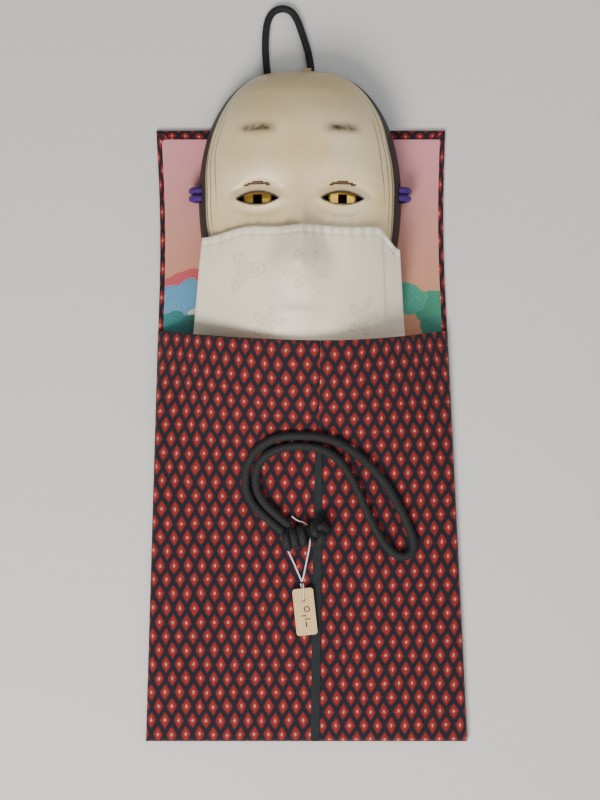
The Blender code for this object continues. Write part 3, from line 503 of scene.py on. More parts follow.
def sideRoute(end):
    wallOut, wallIn = mask["width"] / 2, mask["width"] / 2 - mask["wall"]
    radius = sideCord["cord"] / 2
    low = radius + 0.1
    out, inner, hole = wallOut + radius + gap, wallIn - radius - 2.0, sideCord["holeZ"]
    apart = sideCord["cord"] + sideCord["apart"]
    near, far = sideCord["holeY"] - apart / 2, sideCord["holeY"] + apart / 2
    return [(inner - 9, near - 1.0, hole + 5), (inner - 4.5, near - 0.3, hole + 1.2),
            (wallIn - 1, near, hole), (wallOut + 0.8, near, hole + 0.2), (out + 1.8, near, hole - 4),
            (out + 1.6, near, low + 4.5), (wallOut + 1.2, near, low + 0.3), (wallIn + 2, near, low),
            (inner - 2, near + 0.6, low + 2), (inner - 4.5, near + 2.0, low + 6.5),
            (inner - 5, far - 0.6, hole - 2), (inner - 2.5, far, hole - 0.2), (wallIn, far, hole),
            (wallOut + 0.8, far, hole + 0.2), (out + 1.8, far, hole - 4), (out + 1.6, far, low + 4.5),
            (wallOut + 1.2, far, low + 0.3), (wallIn + 2, far, low), (inner - 6, far, low),
            (end.x + 2.0, end.y + 5.0, low), (end.x, end.y, low)]


def hankRoute(middle, turn):  # six turns: three side by side, in two layers
    long, wide, tall = sideCord["hank"]
    pitch, radius = sideCord["cord"] + 0.1, sideCord["cord"] / 2
    points = []
    for k in range(6):
        level = radius + 0.15 + (k // 3) * pitch
        lane = k % 3 if k < 3 else 2 - k % 3
        bow = wide / 2 - radius - lane * pitch
        reach = long / 2 - radius - lane * pitch - bow
        for j in range(16):
            angle = math.pi / 2 - j / 16 * math.tau
            x = bow * math.cos(angle)
            y = math.copysign(reach, math.sin(angle + 1e-6)) + bow * math.sin(angle)
            nextLevel = level + (pitch / 16 * j if k == 2 else 0.0)
            points.append(middle + turn @ Vector((x, y, nextLevel)))
    return [tuple(p) for p in points]


for side, label in ((-1, "left"), (1, "right")):
    middle = Vector((mask["width"] / 2 - mask["wall"] - sideCord["hankFromWall"], sideCord["hankY"], 0))
    turn = Matrix.Rotation(math.radians(sideCord["turn"]), 3, "Z")
    end = middle + turn @ Vector((0, sideCord["hank"][0] / 2 + gap, 0))
    route = sideRoute(end)[:-1] + hankRoute(middle, turn)
    placed = [(side * x + mask["x"], y + mask["y"], z + mask["z"]) for x, y, z in route]
    piece, path, length = tubeAround("maskCord" + label.capitalize(), placed, sideCord["cord"], 0.8, 24,
                                     braided(8, 8.5, 0.18), purpleCord)
    wears(piece, "mask", "purple_cord", "mask_cord_" + label, "mask_cord_hank_" + label)
    print("side cord", label, round(length, 3))
print("cords laid", round(tieLength, 3), round(loopLength, 3), round(stringLength, 3))


def makeSheet(name, cells, place, thickness, material, anchor=(0, 0), shift=(0.0, 0.0)):
    # a grid laid over a surface, with its flat lengths as UV in millimetres, then given its thickness
    bpy.ops.object.select_all(action="DESELECT")
    bpy.ops.mesh.primitive_grid_add(x_subdivisions=cells[0], y_subdivisions=cells[1], size=2)
    piece = bpy.context.object
    piece.name = piece.data.name = name
    mesh = piece.data
    start = np.empty(len(mesh.vertices) * 3)
    mesh.vertices.foreach_get("co", start)
    start = start.reshape(-1, 3)
    column = np.rint((start[:, 0] + 1) / 2 * cells[0]).astype(int)
    row = np.rint((start[:, 1] + 1) / 2 * cells[1]).astype(int)
    s, t = np.meshgrid(np.linspace(-1, 1, cells[0] + 1), np.linspace(-1, 1, cells[1] + 1))
    places = place(s, t)
    across = np.linalg.norm(np.diff(places, axis=1, prepend=places[:, :1]), axis=2).cumsum(axis=1)
    along = np.linalg.norm(np.diff(places, axis=0, prepend=places[:1]), axis=2).cumsum(axis=0)
    across -= across[:, anchor[0]:anchor[0] + 1 or None]
    along -= along[anchor[1]:anchor[1] + 1 or None]
    flat = np.stack([across + shift[0], along + shift[1]], -1)
    mesh.vertices.foreach_set("co", (places[row, column] * mm).ravel())
    loops = np.empty(len(mesh.loops), int)
    mesh.loops.foreach_get("vertex_index", loops)
    mesh.uv_layers.active.name = "cloth"
    mesh.uv_layers["cloth"].data.foreach_set("uv", flat[row, column][loops].ravel())
    mesh.update()
    solid = piece.modifiers.new("thickness", "SOLIDIFY")
    solid.thickness = thickness * mm
    solid.offset = -1
    bpy.ops.object.modifier_apply(modifier=solid.name)
    piece.data.shade_smooth()
    piece.data.set_sharp_from_angle(angle=math.radians(50))
    piece.data.materials.append(material)
    return piece


def curl(distance, radius):  # how far a rounded edge has dropped, this far in from the edge
    return radius * (1 - np.sqrt(np.clip(1 - np.clip(1 - distance / radius, 0, 1) ** 2, 0, 1)))


def figuredFabric():
    # Cotton woven with raised figures: matt, navy ground, brick red lozenges with a pale eye
    material, tree, shader = startMaterial("figured woven cotton", 0.88, Sheen_Weight=0.06,
                                           Sheen_Roughness=0.5)
    fabric = {"pitch": 9.45, "rows": 19.3, "half": (3.55, 6.1), "thread": 0.55}  # coarse, so it shows
    flat = addNode(tree, "UVMap", {"uv_map": "cloth"})
    waver = noise(tree, flat.outputs[0], 0.045, 1.0)
    bent = addNode(tree, "VectorMath", {"operation": "MULTIPLY_ADD"},
                   {0: waver.outputs[1], 1: (3.0, 3.0, 0.0), 2: flat.outputs[0]})
    threads = addNode(tree, "VectorMath", {"operation": "SNAP"},
                      {0: bent.outputs[0], 1: (fabric["thread"], fabric["thread"] * 0.8, 1.0)})
    apart = addNode(tree, "SeparateXYZ", None, {0: threads.outputs[0]})
    across = maths(tree, "DIVIDE", apart.outputs[0], fabric["pitch"])
    along = maths(tree, "DIVIDE", apart.outputs[1], fabric["rows"])
    offsets = []
    for shift in (0.0, 0.5):  # two sets of lozenges, one half a step from the other
        fromAxis = []
        for value, size in ((across, fabric["pitch"]), (along, fabric["rows"])):
            moved = maths(tree, "ADD", value, shift + 100.0)
            part = maths(tree, "FRACT", moved)
            middle = maths(tree, "SUBTRACT", part, 0.5)
            away = maths(tree, "ABSOLUTE", middle)
            half = fabric["half"][0] if size == fabric["pitch"] else fabric["half"][1]
            scaled = maths(tree, "MULTIPLY", away, size / half)
            shaped = maths(tree, "POWER", scaled, 1.15)
            fromAxis.append(shaped)
        whole = maths(tree, "ADD", fromAxis[0], fromAxis[1])
        offsets.append(whole)
    lozenge = maths(tree, "MINIMUM", offsets[0], offsets[1])
    yarn = noise(tree, flat.outputs[0], 0.9, 3.0)
    rough = maths(tree, "MULTIPLY_ADD", yarn.outputs[0], 0.36, lozenge)
    share = maths(tree, "DIVIDE", rough, 1.25)
    # from a lozenge's eye, past its dark ring and red body, out to the navy ground
    bands = colourBands(tree, share, (0.0, "#e8b9b2"), (0.30, "#d98a80"), (0.336, "#4a0a10"),
                        (0.44, "#b3211a"), (0.68, "#991a18"), (0.864, "#6d141c"), (0.93, "#10122a"),
                        (1.0, "#0c0f20"))
    rib = addNode(tree, "TexWave", {"bands_direction": "Y"},
                  {"Vector": flat.outputs[0], "Scale": 1 / (fabric["thread"] * 1.6) / 3.14, "Distortion": 1.2,
                   "Detail": 1.0})
    shade = addNode(tree, "Mix", {"data_type": "RGBA", "blend_type": "MULTIPLY"},
                    {0: 0.55, 6: bands, 7: rib.outputs[0]})
    raised = maths(tree, "SUBTRACT", rib.outputs["Fac"], lozenge)
    emboss(tree, shader, raised, 0.6, 0.0003)
    tree.links.new(shade.outputs[2], shader.inputs["Base Color"])
    return material


def dyedLining():
    # Plain silk with a hand-dyed picture: smooth, a little sheen, pink fading to salmon and brown
    material, tree, shader = startMaterial("dyed silk lining", 0.55, Sheen_Weight=0.4, Sheen_Roughness=0.4)
    place = addNode(tree, "TexCoord")
    apart = addNode(tree, "SeparateXYZ", None, {0: place.outputs["Object"]})
    fade = addNode(tree, "MapRange", None, {0: apart.outputs[1], 1: 0.055, 2: flapTop * mm})
    soft = noise(tree, place.outputs["Object"], 28.0, 2.0)
    dye = maths(tree, "MULTIPLY_ADD", soft.outputs[0], 0.12, fade.outputs[0])
    colour = colourBands(tree, dye, (0.1, "#c48664"), (0.35, "#c98b72"), (0.65, "#cf8e86"),
                         (1.0, "#d98f9b"))
    patches = [  # centre, radius, squeeze along x, colour
        ((-80.0, 76.0), 17.0, 0.8, "#c9525a"), ((-80.0, 69.0), 17.5, 0.8, "#5b9cc4"),
        ((-74.0, 60.0), 7.0, 1.0, "#ead9c8"), ((-92.0, 50.0), 14.0, 1.0, "#1f7a78"),
        ((-76.0, 50.0), 12.0, 1.0, "#256f68"), ((86.0, 66.0), 12.0, 1.0, "#2f8a6a"),
        ((70.0, 72.0), 12.0, 1.0, "#3f9a80"), ((90.0, 50.0), 13.0, 1.0, "#2a7c68")]
    warp = noise(tree, place.outputs["Object"], 75.0, 2.0)
    centred = addNode(tree, "VectorMath", {"operation": "SUBTRACT"}, {0: warp.outputs[1], 1: (0.5, 0.5, 0.5)})
    bent = addNode(tree, "VectorMath", {"operation": "MULTIPLY_ADD"},
                   {0: centred.outputs[0], 1: (0.012, 0.012, 0.0), 2: place.outputs["Object"]})
    for (x, y), radius, squeeze, tint in patches:
        moved = addNode(tree, "Mapping", {"vector_type": "POINT"},
                        {"Vector": bent.outputs[0], "Location": (-x * mm * squeeze, -y * mm, 0.0),
                         "Scale": (squeeze, 1.0, 0.0)})
        away = addNode(tree, "VectorMath", {"operation": "LENGTH"}, {0: moved.outputs[0]})
        inside = addNode(tree, "MapRange", None,
                         {0: away.outputs["Value"], 1: radius * mm, 2: (radius - 0.6) * mm})
        rays = addNode(tree, "TexWave", {"wave_type": "RINGS", "rings_direction": "Z"},
                       {"Vector": moved.outputs[0], "Scale": 190.0, "Distortion": 2.0, "Detail": 1.0})
        lined = addNode(tree, "Mix", {"data_type": "RGBA", "blend_type": "MULTIPLY"},
                        {0: 0.3, 6: toLinear(tint), 7: rays.outputs[0]})
        colour = blend(tree, inside.outputs[0], colour, lined.outputs[2])
    creases = noise(tree, place.outputs["Object"], 60.0, 3.0)
    emboss(tree, shader, creases.outputs[0], 0.35, 0.0015)
    tree.links.new(colour, shader.inputs["Base Color"])
    return material


def plainCloth(name, base, lit, roughness, thread, strength):  # plain weave: crossing ribs and slubs
    material, tree, shader = startMaterial(name, roughness, Sheen_Weight=0.3, Sheen_Roughness=0.4)
    flat = addNode(tree, "UVMap", {"uv_map": "cloth"})
    ribs = [addNode(tree, "TexWave", {"bands_direction": direction},
                    {"Vector": flat.outputs[0], "Scale": 1 / thread / 3.14, "Distortion": 0.6})
            for direction in "XY"]
    crossed = maths(tree, "ADD", ribs[0].outputs["Fac"], ribs[1].outputs["Fac"])
    slubs = noise(tree, flat.outputs[0], 0.12, 4.0)
    colour = blend(tree, slubs.outputs[0], toLinear(base), toLinear(lit))
    emboss(tree, shader, crossed, strength, 0.0002)
    tree.links.new(colour, shader.inputs["Base Color"])
    return material


def damask():
    # Silk damask: cream satin ground with flowers in the same colour that catch the light differently
    material, tree, shader = startMaterial("cream silk damask", 0.5, Sheen_Weight=0.5, Sheen_Roughness=0.35)
    flat = addNode(tree, "UVMap", {"uv_map": "cloth"})
    figures = []
    for x, y, petals, radius in ((5.0, -34.0, 6.0, 17.0), (-42.0, -30.0, 3.0, 15.0), (48.0, -62.0, 5.0, 15.0),
                                 (-22.0, -66.0, 5.0, 13.0)):
        moved = addNode(tree, "Mapping", None, {"Vector": flat.outputs[0], "Location": (-x, -y, 0.0)})
        apart = addNode(tree, "SeparateXYZ", None, {0: moved.outputs[0]})
        away = addNode(tree, "VectorMath", {"operation": "LENGTH"}, {0: moved.outputs[0]})
        angle = maths(tree, "ARCTAN2", apart.outputs[1], apart.outputs[0])
        turned = maths(tree, "MULTIPLY", angle, petals)
        wave = maths(tree, "COSINE", turned)
        lobe = maths(tree, "MULTIPLY_ADD", wave, radius * 0.3, radius * 0.68)
        inside = maths(tree, "SUBTRACT", lobe, away.outputs["Value"])
        bands = maths(tree, "MULTIPLY", inside, 1.5)
        rings = maths(tree, "SINE", bands)
        within = maths(tree, "GREATER_THAN", inside, 0.0)
        shown = maths(tree, "MULTIPLY", rings, within)
        clear = addNode(tree, "MapRange", None, {0: shown, 1: 0.0, 2: 0.25})
        figures.append(clear.outputs[0])
    total = figures[0]
    for figure in figures[1:]:
        total = maths(tree, "MAXIMUM", total, figure)
    slub = noise(tree, flat.outputs[0], 0.5, 5.0)
    ground = blend(tree, slub.outputs[0], toLinear("#efe3c8"), toLinear("#faf1dc"))
    # the figures are painted a little darker than the ground: painted shade for the way they catch the light
    colour = blend(tree, total, ground, toLinear("#e3d6bb"))
    gloss = addNode(tree, "MapRange", None, {0: total, 3: 0.46, 4: 0.62})
    twill = addNode(tree, "TexWave", {"bands_direction": "DIAGONAL"},
                    {"Vector": flat.outputs[0], "Scale": 0.35, "Distortion": 0.5})
    height = maths(tree, "MULTIPLY_ADD", twill.outputs["Fac"], 0.4, total)
    emboss(tree, shader, height, 0.35, 0.00025)
    tree.links.new(colour, shader.inputs["Base Color"])
    tree.links.new(gloss.outputs[0], shader.inputs["Roughness"])
    return material


fabric = figuredFabric()
lining = dyedLining()
# Carded cotton: matt, off-white and lumpy
wadding = plainCloth("carded cotton wadding", "#cfc9bb", "#e6e1d4", 0.95, 2.0, 0.6)
# Twilled cotton tape dyed black: matt, with close ribs across it
blackTape = plainCloth("black cotton tape", "#0b0f12", "#1c2427", 0.85, 0.9, 0.6)
damaskSilk = damask()


# How the bag's edges round off and how far its padding swells, in millimetres
quilt = {"edge": 3.3, "mouthEdge": 2.2, "seamEdge": 1.4, "puff": 0.45, "under": 4.0}


def frontPlace(s, t, depth, inset=0.0, topInset=0.0, curled=True, seamGap=0.0):
    along = (t + 1) / 2
    along = inset / bag["pocket"] + along * (1 - (inset + topInset) / bag["pocket"])
    y = bag["bottom"] + along * bag["pocket"] - along**2 * bag["dip"] * np.cos(math.pi / 2 * s)
    half = bagHalf(y) - inset
    x = seamX(y) + (bagMiddle(y) + np.copysign(half, s) - seamX(y)) * np.abs(s) + seamGap * (1 - np.abs(s))
    down = np.zeros_like(x)
    if curled:
        down = np.maximum(curl((1 - np.abs(s)) * half, quilt["edge"]),
                          curl(along * bag["pocket"], quilt["edge"]))
        down = np.maximum(down, curl((1 - along) * bag["pocket"], quilt["mouthEdge"]))
        down = np.maximum(down, 0.45 * curl(np.abs(s) * half, quilt["seamEdge"]))
    calm = ramp(0, 14, (1 - np.abs(s)) * half) * ramp(0, 14, along * bag["pocket"])
    calm = calm * ramp(0, 10, (1 - along) * bag["pocket"])
    places = panelPoint(x, y, depth + 0.0 * x)
    places[..., 2] += quilt["puff"] * calm * (wander(x, y, 46.0, 3) - 0.35) - down
    return places


def halfPanel(side):
    def place(s, t):
        across = (s + side) / 2
        nearEdge = np.copysign(1 - (1 - np.abs(across)) ** 1.25, side)
        return frontPlace(nearEdge, t, 0.0, seamGap=side * 0.03)
    return place


cells = (84, 210)
frontLeft = makeSheet("frontPanelLeft", cells, halfPanel(-1), bag["layers"][0], fabric, (-1, 0), (-2.2, 1.0))
frontRight = makeSheet("frontPanelRight", cells, halfPanel(1), bag["layers"][0], fabric, (0, 0), (3.4, 4.6))
underWadding = bag["layers"][0] + gap
underLining = underWadding + bag["layers"][1] + gap
frontWadding = makeSheet("frontWadding", (80, 100),
                         lambda s, t: frontPlace(s, t, underWadding + 0.4, quilt["under"], 3.0, False),
                         bag["layers"][1] - 0.5, wadding)
frontLining = makeSheet("frontLining", (80, 100),
                        lambda s, t: frontPlace(s, t, underLining, quilt["under"], 2.0, False),
                        bag["layers"][2], lining)
wears(frontLeft, "bag", "bag_fabric", "bag_front_outer_left")
wears(frontRight, "bag", "bag_fabric", "bag_front_outer_right")
wears(frontWadding, "bag", "wadding", "bag_front_wadding")
wears(frontLining, "bag", "lining_silk", "bag_front_lining")


def backPlace(s, t):  # the underside, then round the edge and over on to the top
    radius, over, flatCells, foldCells = bagStack / 2, 6.5, 0.5, 0.5
    fold = math.pi * radius + over
    y0, y1 = bag["bottom"], flapTop
    b = np.where(np.abs(t) < flatCells, 0.0, (np.abs(t) - flatCells) / foldCells * fold)
    a = np.where(np.abs(s) < flatCells, 0.0, (np.abs(s) - flatCells) / foldCells * fold)
    away = np.maximum(a, b)
    turn = np.clip(away / radius, 0, math.pi)
    inset = radius - radius * np.sin(turn) + np.maximum(away - math.pi * radius, 0)
    z = radius - radius * np.cos(turn)
    length = (y1 - y0) / 2
    reachY = length - radius
    ratioY = np.sign(t) * np.where(np.abs(t) < flatCells, np.abs(t) / flatCells * reachY,
                                   reachY + b) / (reachY + away)
    y = (y0 + y1) / 2 + ratioY * (length - inset)
    half = bagHalf(y)
    reachX = half - radius
    ratioX = np.sign(s) * np.where(np.abs(s) < flatCells, np.abs(s) / flatCells * reachX,
                                   reachX + a) / (reachX + away)
    x = bagMiddle(y) - ratioX * (half - inset)
    return np.stack([x, y, z + 0.02], -1)


bagBack = makeSheet("bagBack", (80, 120), backPlace, bag["layers"][0], fabric, (40, 60))


def backFlat(height, side, bottom, top, ripple):
    def place(s, t):
        y = bag["bottom"] + bottom + (t + 1) / 2 * (flapTop - top - bag["bottom"] - bottom)
        x = bagMiddle(y) + s * (bagHalf(y) - side)
        edge = np.minimum((1 - np.abs(s)) * (bagHalf(y) - side), flapTop - top - y)
        z = height + ripple * wander(x, y, 30.0, 8) * ramp(0, 8, edge) - 0.25 * (1 - ramp(0, 2.5, edge))
        return np.stack([x, y, z], -1)
    return place


backWadding = makeSheet("backWadding", (30, 60), backFlat(2.55, 3.5, 3.5, 3.5, 0.0), bag["layers"][1] - 0.1,
                        wadding)
backLining = makeSheet("backLining", (90, 170), backFlat(3.62, 3.2, 4.0, 6.0, 0.04), 0.15, lining)
wears(bagBack, "bag", "bag_fabric", "bag_back_outer")
wears(backWadding, "bag", "wadding", "bag_back_wadding")
wears(backLining, "bag", "lining_silk", "bag_back_lining")


def tapePlace(s, t):  # narrows a little towards its upper end
    along = (t + 1) / 2
    y = bag["bottom"] + bag["tapeStart"] + along * bag["tapeLength"]
    width = bag["tape"][0] * (1 - 0.25 * ramp(0.6, 1.0, along))
    edge = (1 - np.abs(s)) * width / 2
    return panelPoint(seamX(y) + s * width / 2, y, -gap - bag["tape"][1] + curl(edge, 0.3))


wears(makeSheet("centreTape", (12, 150), tapePlace, bag["tape"][1] * 0.8, blackTape), "bag", "black_tape",
             "centre_tape")
print("bag made")


def softCloth():  # the stretched sheet with its angles smoothed, still clear of the face
    step = 1.5
    xs = np.arange(-86.0, 84.0, step)
    ys = np.arange(-122.0, 4.0, step)
    x, y = np.meshgrid(xs, ys)
    below = maskHeight(x, y)
    height = clothBase(x, y)

    def blurred(field, times):
        for _ in range(times):
            wide = np.pad(field, 1, mode="edge")
            field = (wide[:-2, 1:-1] + wide[2:, 1:-1] + wide[1:-1, :-2] + wide[1:-1, 2:] + 2 * field) / 6
        return field

    height = blurred(height, 26)
    for _ in range(3):
        height = height + blurred(np.maximum(below + 0.7 - height, 0), 3)
        height = np.maximum(height, below + 0.5)
    height = blurred(height, 2)
    return gridValue(xs, ys, step, height)


clothSurface = softCloth()
hem = {"width": 5.0, "pucker": 0.55, "every": 6.5, "tuckX": 53.0, "tuck": 1.3, "folds": 0.8}


def clothPlace(under, inset):
    def place(s, t):
        down = (1 - t) / 2
        pastLeft = cloth["left"][0] + (cloth["left"][1] - cloth["left"][0]) * down - inset
        pastRight = cloth["right"][0] + (cloth["right"][1] - cloth["right"][0]) * down - inset
        x = s * mask["width"] / 2 + pastRight * (s + 1) / 2 + pastLeft * (s - 1) / 2
        corner = cloth["corner"][0] * ramp(0.4, 1.0, -s) + cloth["corner"][1] * ramp(0.75, 1.0, s)
        end = -mask["length"] / 2 - cloth["pastChin"]
        top = cloth["eyeY"] - cloth["belowEyes"] - corner - inset + 0.5 * np.sin(s * 9.0 + 0.6)
        y = end + inset + (top - end - inset) * (t + 1) / 2
        fromHem = top - y
        z = clothSurface(x, y) + cloth["clearance"] + clothStack - 0.4 - under
        gather = np.sin(x / hem["every"] * math.tau + 2.2 * np.sin(x / 17.0))
        gather = gather + 0.5 * np.sin(x / 3.1 * 2.0 + 1.0)
        z = z + hem["pucker"] * gather * bump(fromHem, 2.0, 6.0) - 0.5 * bump(fromHem, hem["width"], 0.9)
        z = z + hem["folds"] * wander(x, y * 0.4, 34.0, 5) * ramp(2, 25, fromHem) * (y > -75)
        z = z - hem["tuck"] * ramp(0, 1.3, x - hem["tuckX"] + 0.07 * y) * ramp(0, 10, fromHem)
        edge = np.minimum((1 - np.abs(s)) * mask["width"] / 2, fromHem)
        z = z - 0.7 * curl(np.maximum(edge, 0), 1.6)
        return np.stack([x + mask["x"], y + mask["y"], z + mask["z"]], -1)
    return place


clothFront = makeSheet("faceClothFront", (200, 150), clothPlace(0.0, 0.0), 0.45, damaskSilk, (100, -1))
clothWadding = makeSheet("faceClothWadding", (110, 90), clothPlace(0.75, 2.5), 0.7, wadding)
clothBack = makeSheet("faceClothBack", (130, 100), clothPlace(1.7, 0.8), 0.3, damaskSilk, (65, -1))
wears(clothFront, "mask", "cream_silk", "face_cloth_front")
wears(clothWadding, "mask", "wadding", "face_cloth_wadding")
wears(clothBack, "mask", "cream_silk", "face_cloth_back")
print("face cloth laid")


# The mask's mesh, and the places and sizes of its openings in millimetres
face = {"columns": (176, 40), "rings": 360, "eye": (28.0, 13.0), "opening": (27.0, 8.5), "lip": 2.4,
        "plate": (32.0, 13.0, 0.8), "nostril": (5.5, -37.5), "nostrilSize": (4.4, 3.5, 8.8),
        "hole": (6.6, 3.2)}


def isolate(name):  # the newly added primitive, named
    piece = bpy.context.object
    piece.name = piece.data.name = name
    return piece


def cutAway(piece, cutter):
    bpy.ops.object.select_all(action="DESELECT")
    piece.select_set(True)
    bpy.context.view_layer.objects.active = piece
    cut = piece.modifiers.new("cut", "BOOLEAN")
    cut.solver = "MANIFOLD"
    cut.object = cutter
    bpy.ops.object.modifier_apply(modifier=cut.name)
    bpy.data.objects.remove(cutter)


def eyeHalf(x, length, height, upper):  # the eye opening's half height at x from its middle
    arch = np.clip(np.cos(math.pi * np.clip(x / length, -0.5, 0.5)), 0, 1) ** 0.8
    return height / 2 * arch * np.where(upper, 1.0, 0.85)


def makeShell():
    outside, within = face["columns"]
    around = outside + within
    bpy.ops.object.select_all(action="DESELECT")
    bpy.ops.mesh.primitive_uv_sphere_add(segments=around, ring_count=face["rings"], radius=1.0)
    shell = isolate("maskShell")
    ball = np.empty(len(shell.data.vertices) * 3)
    shell.data.vertices.foreach_get("co", ball)
    ball = ball.reshape(-1, 3)
    v = np.clip(ball[:, 2], -1, 1)
    column = np.rint(np.arctan2(ball[:, 1], ball[:, 0]) / math.tau * around).astype(int) % around
    outer = column <= outside
    angle = np.where(outer, math.pi * column / outside, math.pi * (around - 1 - column) / (within - 2))
    angle = np.clip(angle, 0, math.pi)
    share = np.maximum(np.sin(angle), 0)
    across = np.sign(np.cos(angle)) * np.abs(np.cos(angle)) ** (2 / mask["section"]) * outline(v)
    thin = [np.where(outer, 1.0, 1 - mask["wall"] / size)
            for size in (mask["width"] / 2, mask["length"] / 2, mask["depth"])]
    lift = rimLift(v)
    z = lift + crest(v) * (mask["depth"] * thin[2] - lift) * share
    z = z + np.where(outer, relief(across, v) * ramp(*mask["reliefFade"], share), 0.0)
    halfWidth, halfLength = mask["width"] / 2, mask["length"] / 2
    ex, ey = np.abs(across) * halfWidth - face["eye"][0], v * halfLength - face["eye"][1]
    lid = eyeHalf(ex, face["opening"][0], face["opening"][1], ey > 0)
    reach = face["opening"][0] / 2
    edge = np.where(np.abs(ex) < reach, np.abs(ey) - lid, np.hypot(np.abs(ex) - reach, ey))
    lids = 0.9 * bump(edge, 1.2, 1.9) - np.where(ey > 0, 1.5, 0.5) * bump(edge, 6.2, 1.7) * bump(ex, 0, 20.0)
    z = z + np.where(outer, lids * ramp(0, 0.5, share), 0.0)
    chisel = 0.12 * wander(across * halfWidth, v * halfLength, 9.0, 12)  # the hollow keeps its tool marks
    z = z + np.where(outer, 0.0, chisel * share)
    pole = np.abs(v) > 1 - 1e-5
    z = np.where(pole, lift, z)
    x = np.where(pole, 0.0, across * mask["width"] / 2 * thin[0])
    y = v * mask["length"] / 2 * np.where(pole, 1.0, thin[1])
    shell.data.vertices.foreach_set("co", (np.stack([x, y, z], -1) * mm).ravel())
    shell.data.update()
    for layer in list(shell.data.uv_layers):
        shell.data.uv_layers.remove(layer)
    mesh = bmesh.new()
    mesh.from_mesh(shell.data)
    if mesh.calc_volume(signed=True) < 0:
        bmesh.ops.reverse_faces(mesh, faces=mesh.faces[:])
    mesh.to_mesh(shell.data)
    mesh.free()
    return shell


def cutSide(shell, side):
    length, height = face["opening"]
    steps = 24
    bpy.ops.object.select_all(action="DESELECT")
    bpy.ops.mesh.primitive_cylinder_add(vertices=4 * steps, depth=2 * mask["depth"] * mm)
    opening = isolate("eyeOpening")
    for vertex in opening.data.vertices:
        around = round(math.atan2(vertex.co.y, vertex.co.x) / math.tau * 4 * steps) % (4 * steps)
        upper = around <= 2 * steps
        run = around / (2 * steps) if upper else 2 - around / (2 * steps)
        x = (0.5 - run) * length
        y = float(eyeHalf(x, length, height, upper)) * (1 if upper else -1)
        vertex.co = Vector((x + side * face["eye"][0], y + face["eye"][1],
                            vertex.co.z * 1000 + mask["depth"])) * mm
    cutAway(shell, opening)

    def seatPlace(s, t):
        x = side * face["eye"][0] + s * (face["plate"][0] / 2 + gap)
        arch = 0.25 + 0.75 * np.clip(np.cos(math.pi / 2 * s), 0, 1) ** 0.8
        y = face["eye"][1] + t * (face["plate"][1] / 2 + 2 * gap) * arch * np.where(t > 0, 1.0, 0.85)
        return np.stack([x, y, maskHeight(x, y) - face["lip"]], -1)

    cutAway(shell, makeSheet("eyeSeat", (24, 12), seatPlace, mask["wall"] + 1.5, gofun))
    x, y = face["nostril"]
    bpy.ops.object.select_all(action="DESELECT")
    bpy.ops.mesh.primitive_uv_sphere_add(segments=20, ring_count=14, radius=0.5)
    nostril = isolate("nostril")
    for vertex in nostril.data.vertices:
        stretched = [c * size for c, size in zip(vertex.co, face["nostrilSize"])]
        vertex.co = (Vector((side * x, y, float(maskHeight(x, y)))) + Vector(stretched)) * mm
    cutAway(shell, nostril)
    bpy.ops.object.select_all(action="DESELECT")
    bpy.ops.mesh.primitive_cylinder_add(vertices=40, radius=1.0, depth=4 * mask["wall"])
    passage = isolate("cordPassage")
    for vertex in passage.data.vertices:
        wide, tall = vertex.co.x * face["hole"][0], vertex.co.y * face["hole"][1]
        vertex.co = Vector((side * mask["width"] / 2 + vertex.co.z, mask["cordY"] + wide,
                            sideCord["holeZ"] + tall)) * mm
    cutAway(shell, passage)


def paintShell(shell):  # where the ink, the rouge and the blackened teeth lie, kept on the surface
    mesh = shell.data
    places = np.empty(len(mesh.vertices) * 3)
    mesh.vertices.foreach_get("co", places)
    x, y, z = (places.reshape(-1, 3) / mm).T
    v = np.clip(y / (mask["length"] / 2), -1, 1)
    half = np.maximum(outline(v) * mask["width"] / 2, 1e-6)
    share = np.sqrt(np.clip(1 - (np.abs(x) / half) ** mask["section"], 0, 1))
    shown = z > maskHeight(x, y) - 1.2
    shown |= (np.abs(x) > half - 1.0) | (np.abs(y) > mask["length"] / 2 - 1.0)
    side = np.abs(x)
    # level painted brows straight above the eyes, at half of the way from the eyes' line to the crown
    browHeight = face["eye"][1] + (mask["length"] / 2 - face["eye"][1]) * 0.5
    brow = np.exp(-((side - face["eye"][0]) / 11.5) ** 4 - ((y - browHeight) / 3.2) ** 2)
    ex, ey = side - face["eye"][0], y - face["eye"][1]
    lid = eyeHalf(ex, face["opening"][0], face["opening"][1], ey > 0)
    reach = face["opening"][0] / 2
    edge = np.where(np.abs(ex) < reach, np.abs(ey) - lid, np.hypot(np.abs(ex) - reach, ey))
    mouth = bump(x, 0, 19.0) * bump(v, -0.53, 0.075)
    teeth = bump(x, 0, 12.0) * bump(v, -0.53, 0.018)
    marks = {
        "ink": np.clip(brow, 0, 1) * shown, "lash": (1 - ramp(0.5, np.where(ey > 0, 2.3, 1.5), edge)) * shown,
        "rouge": ramp(0.35, 0.7, mouth) * shown, "teeth": ramp(0.4, 0.8, teeth) * shown,
        "rim": np.where(shown, share, -1.0), "along": v,
        # hollow: how deep the carved recesses sink, read by the material as painted shade
        "hollow": np.clip(-relief(x / (mask["width"] / 2), v) / 5.0, 0, 1) * shown}
    for key, values in marks.items():
        attribute = mesh.attributes.new(key, "FLOAT", "POINT")
        attribute.data.foreach_set("value", values.astype(np.float32))


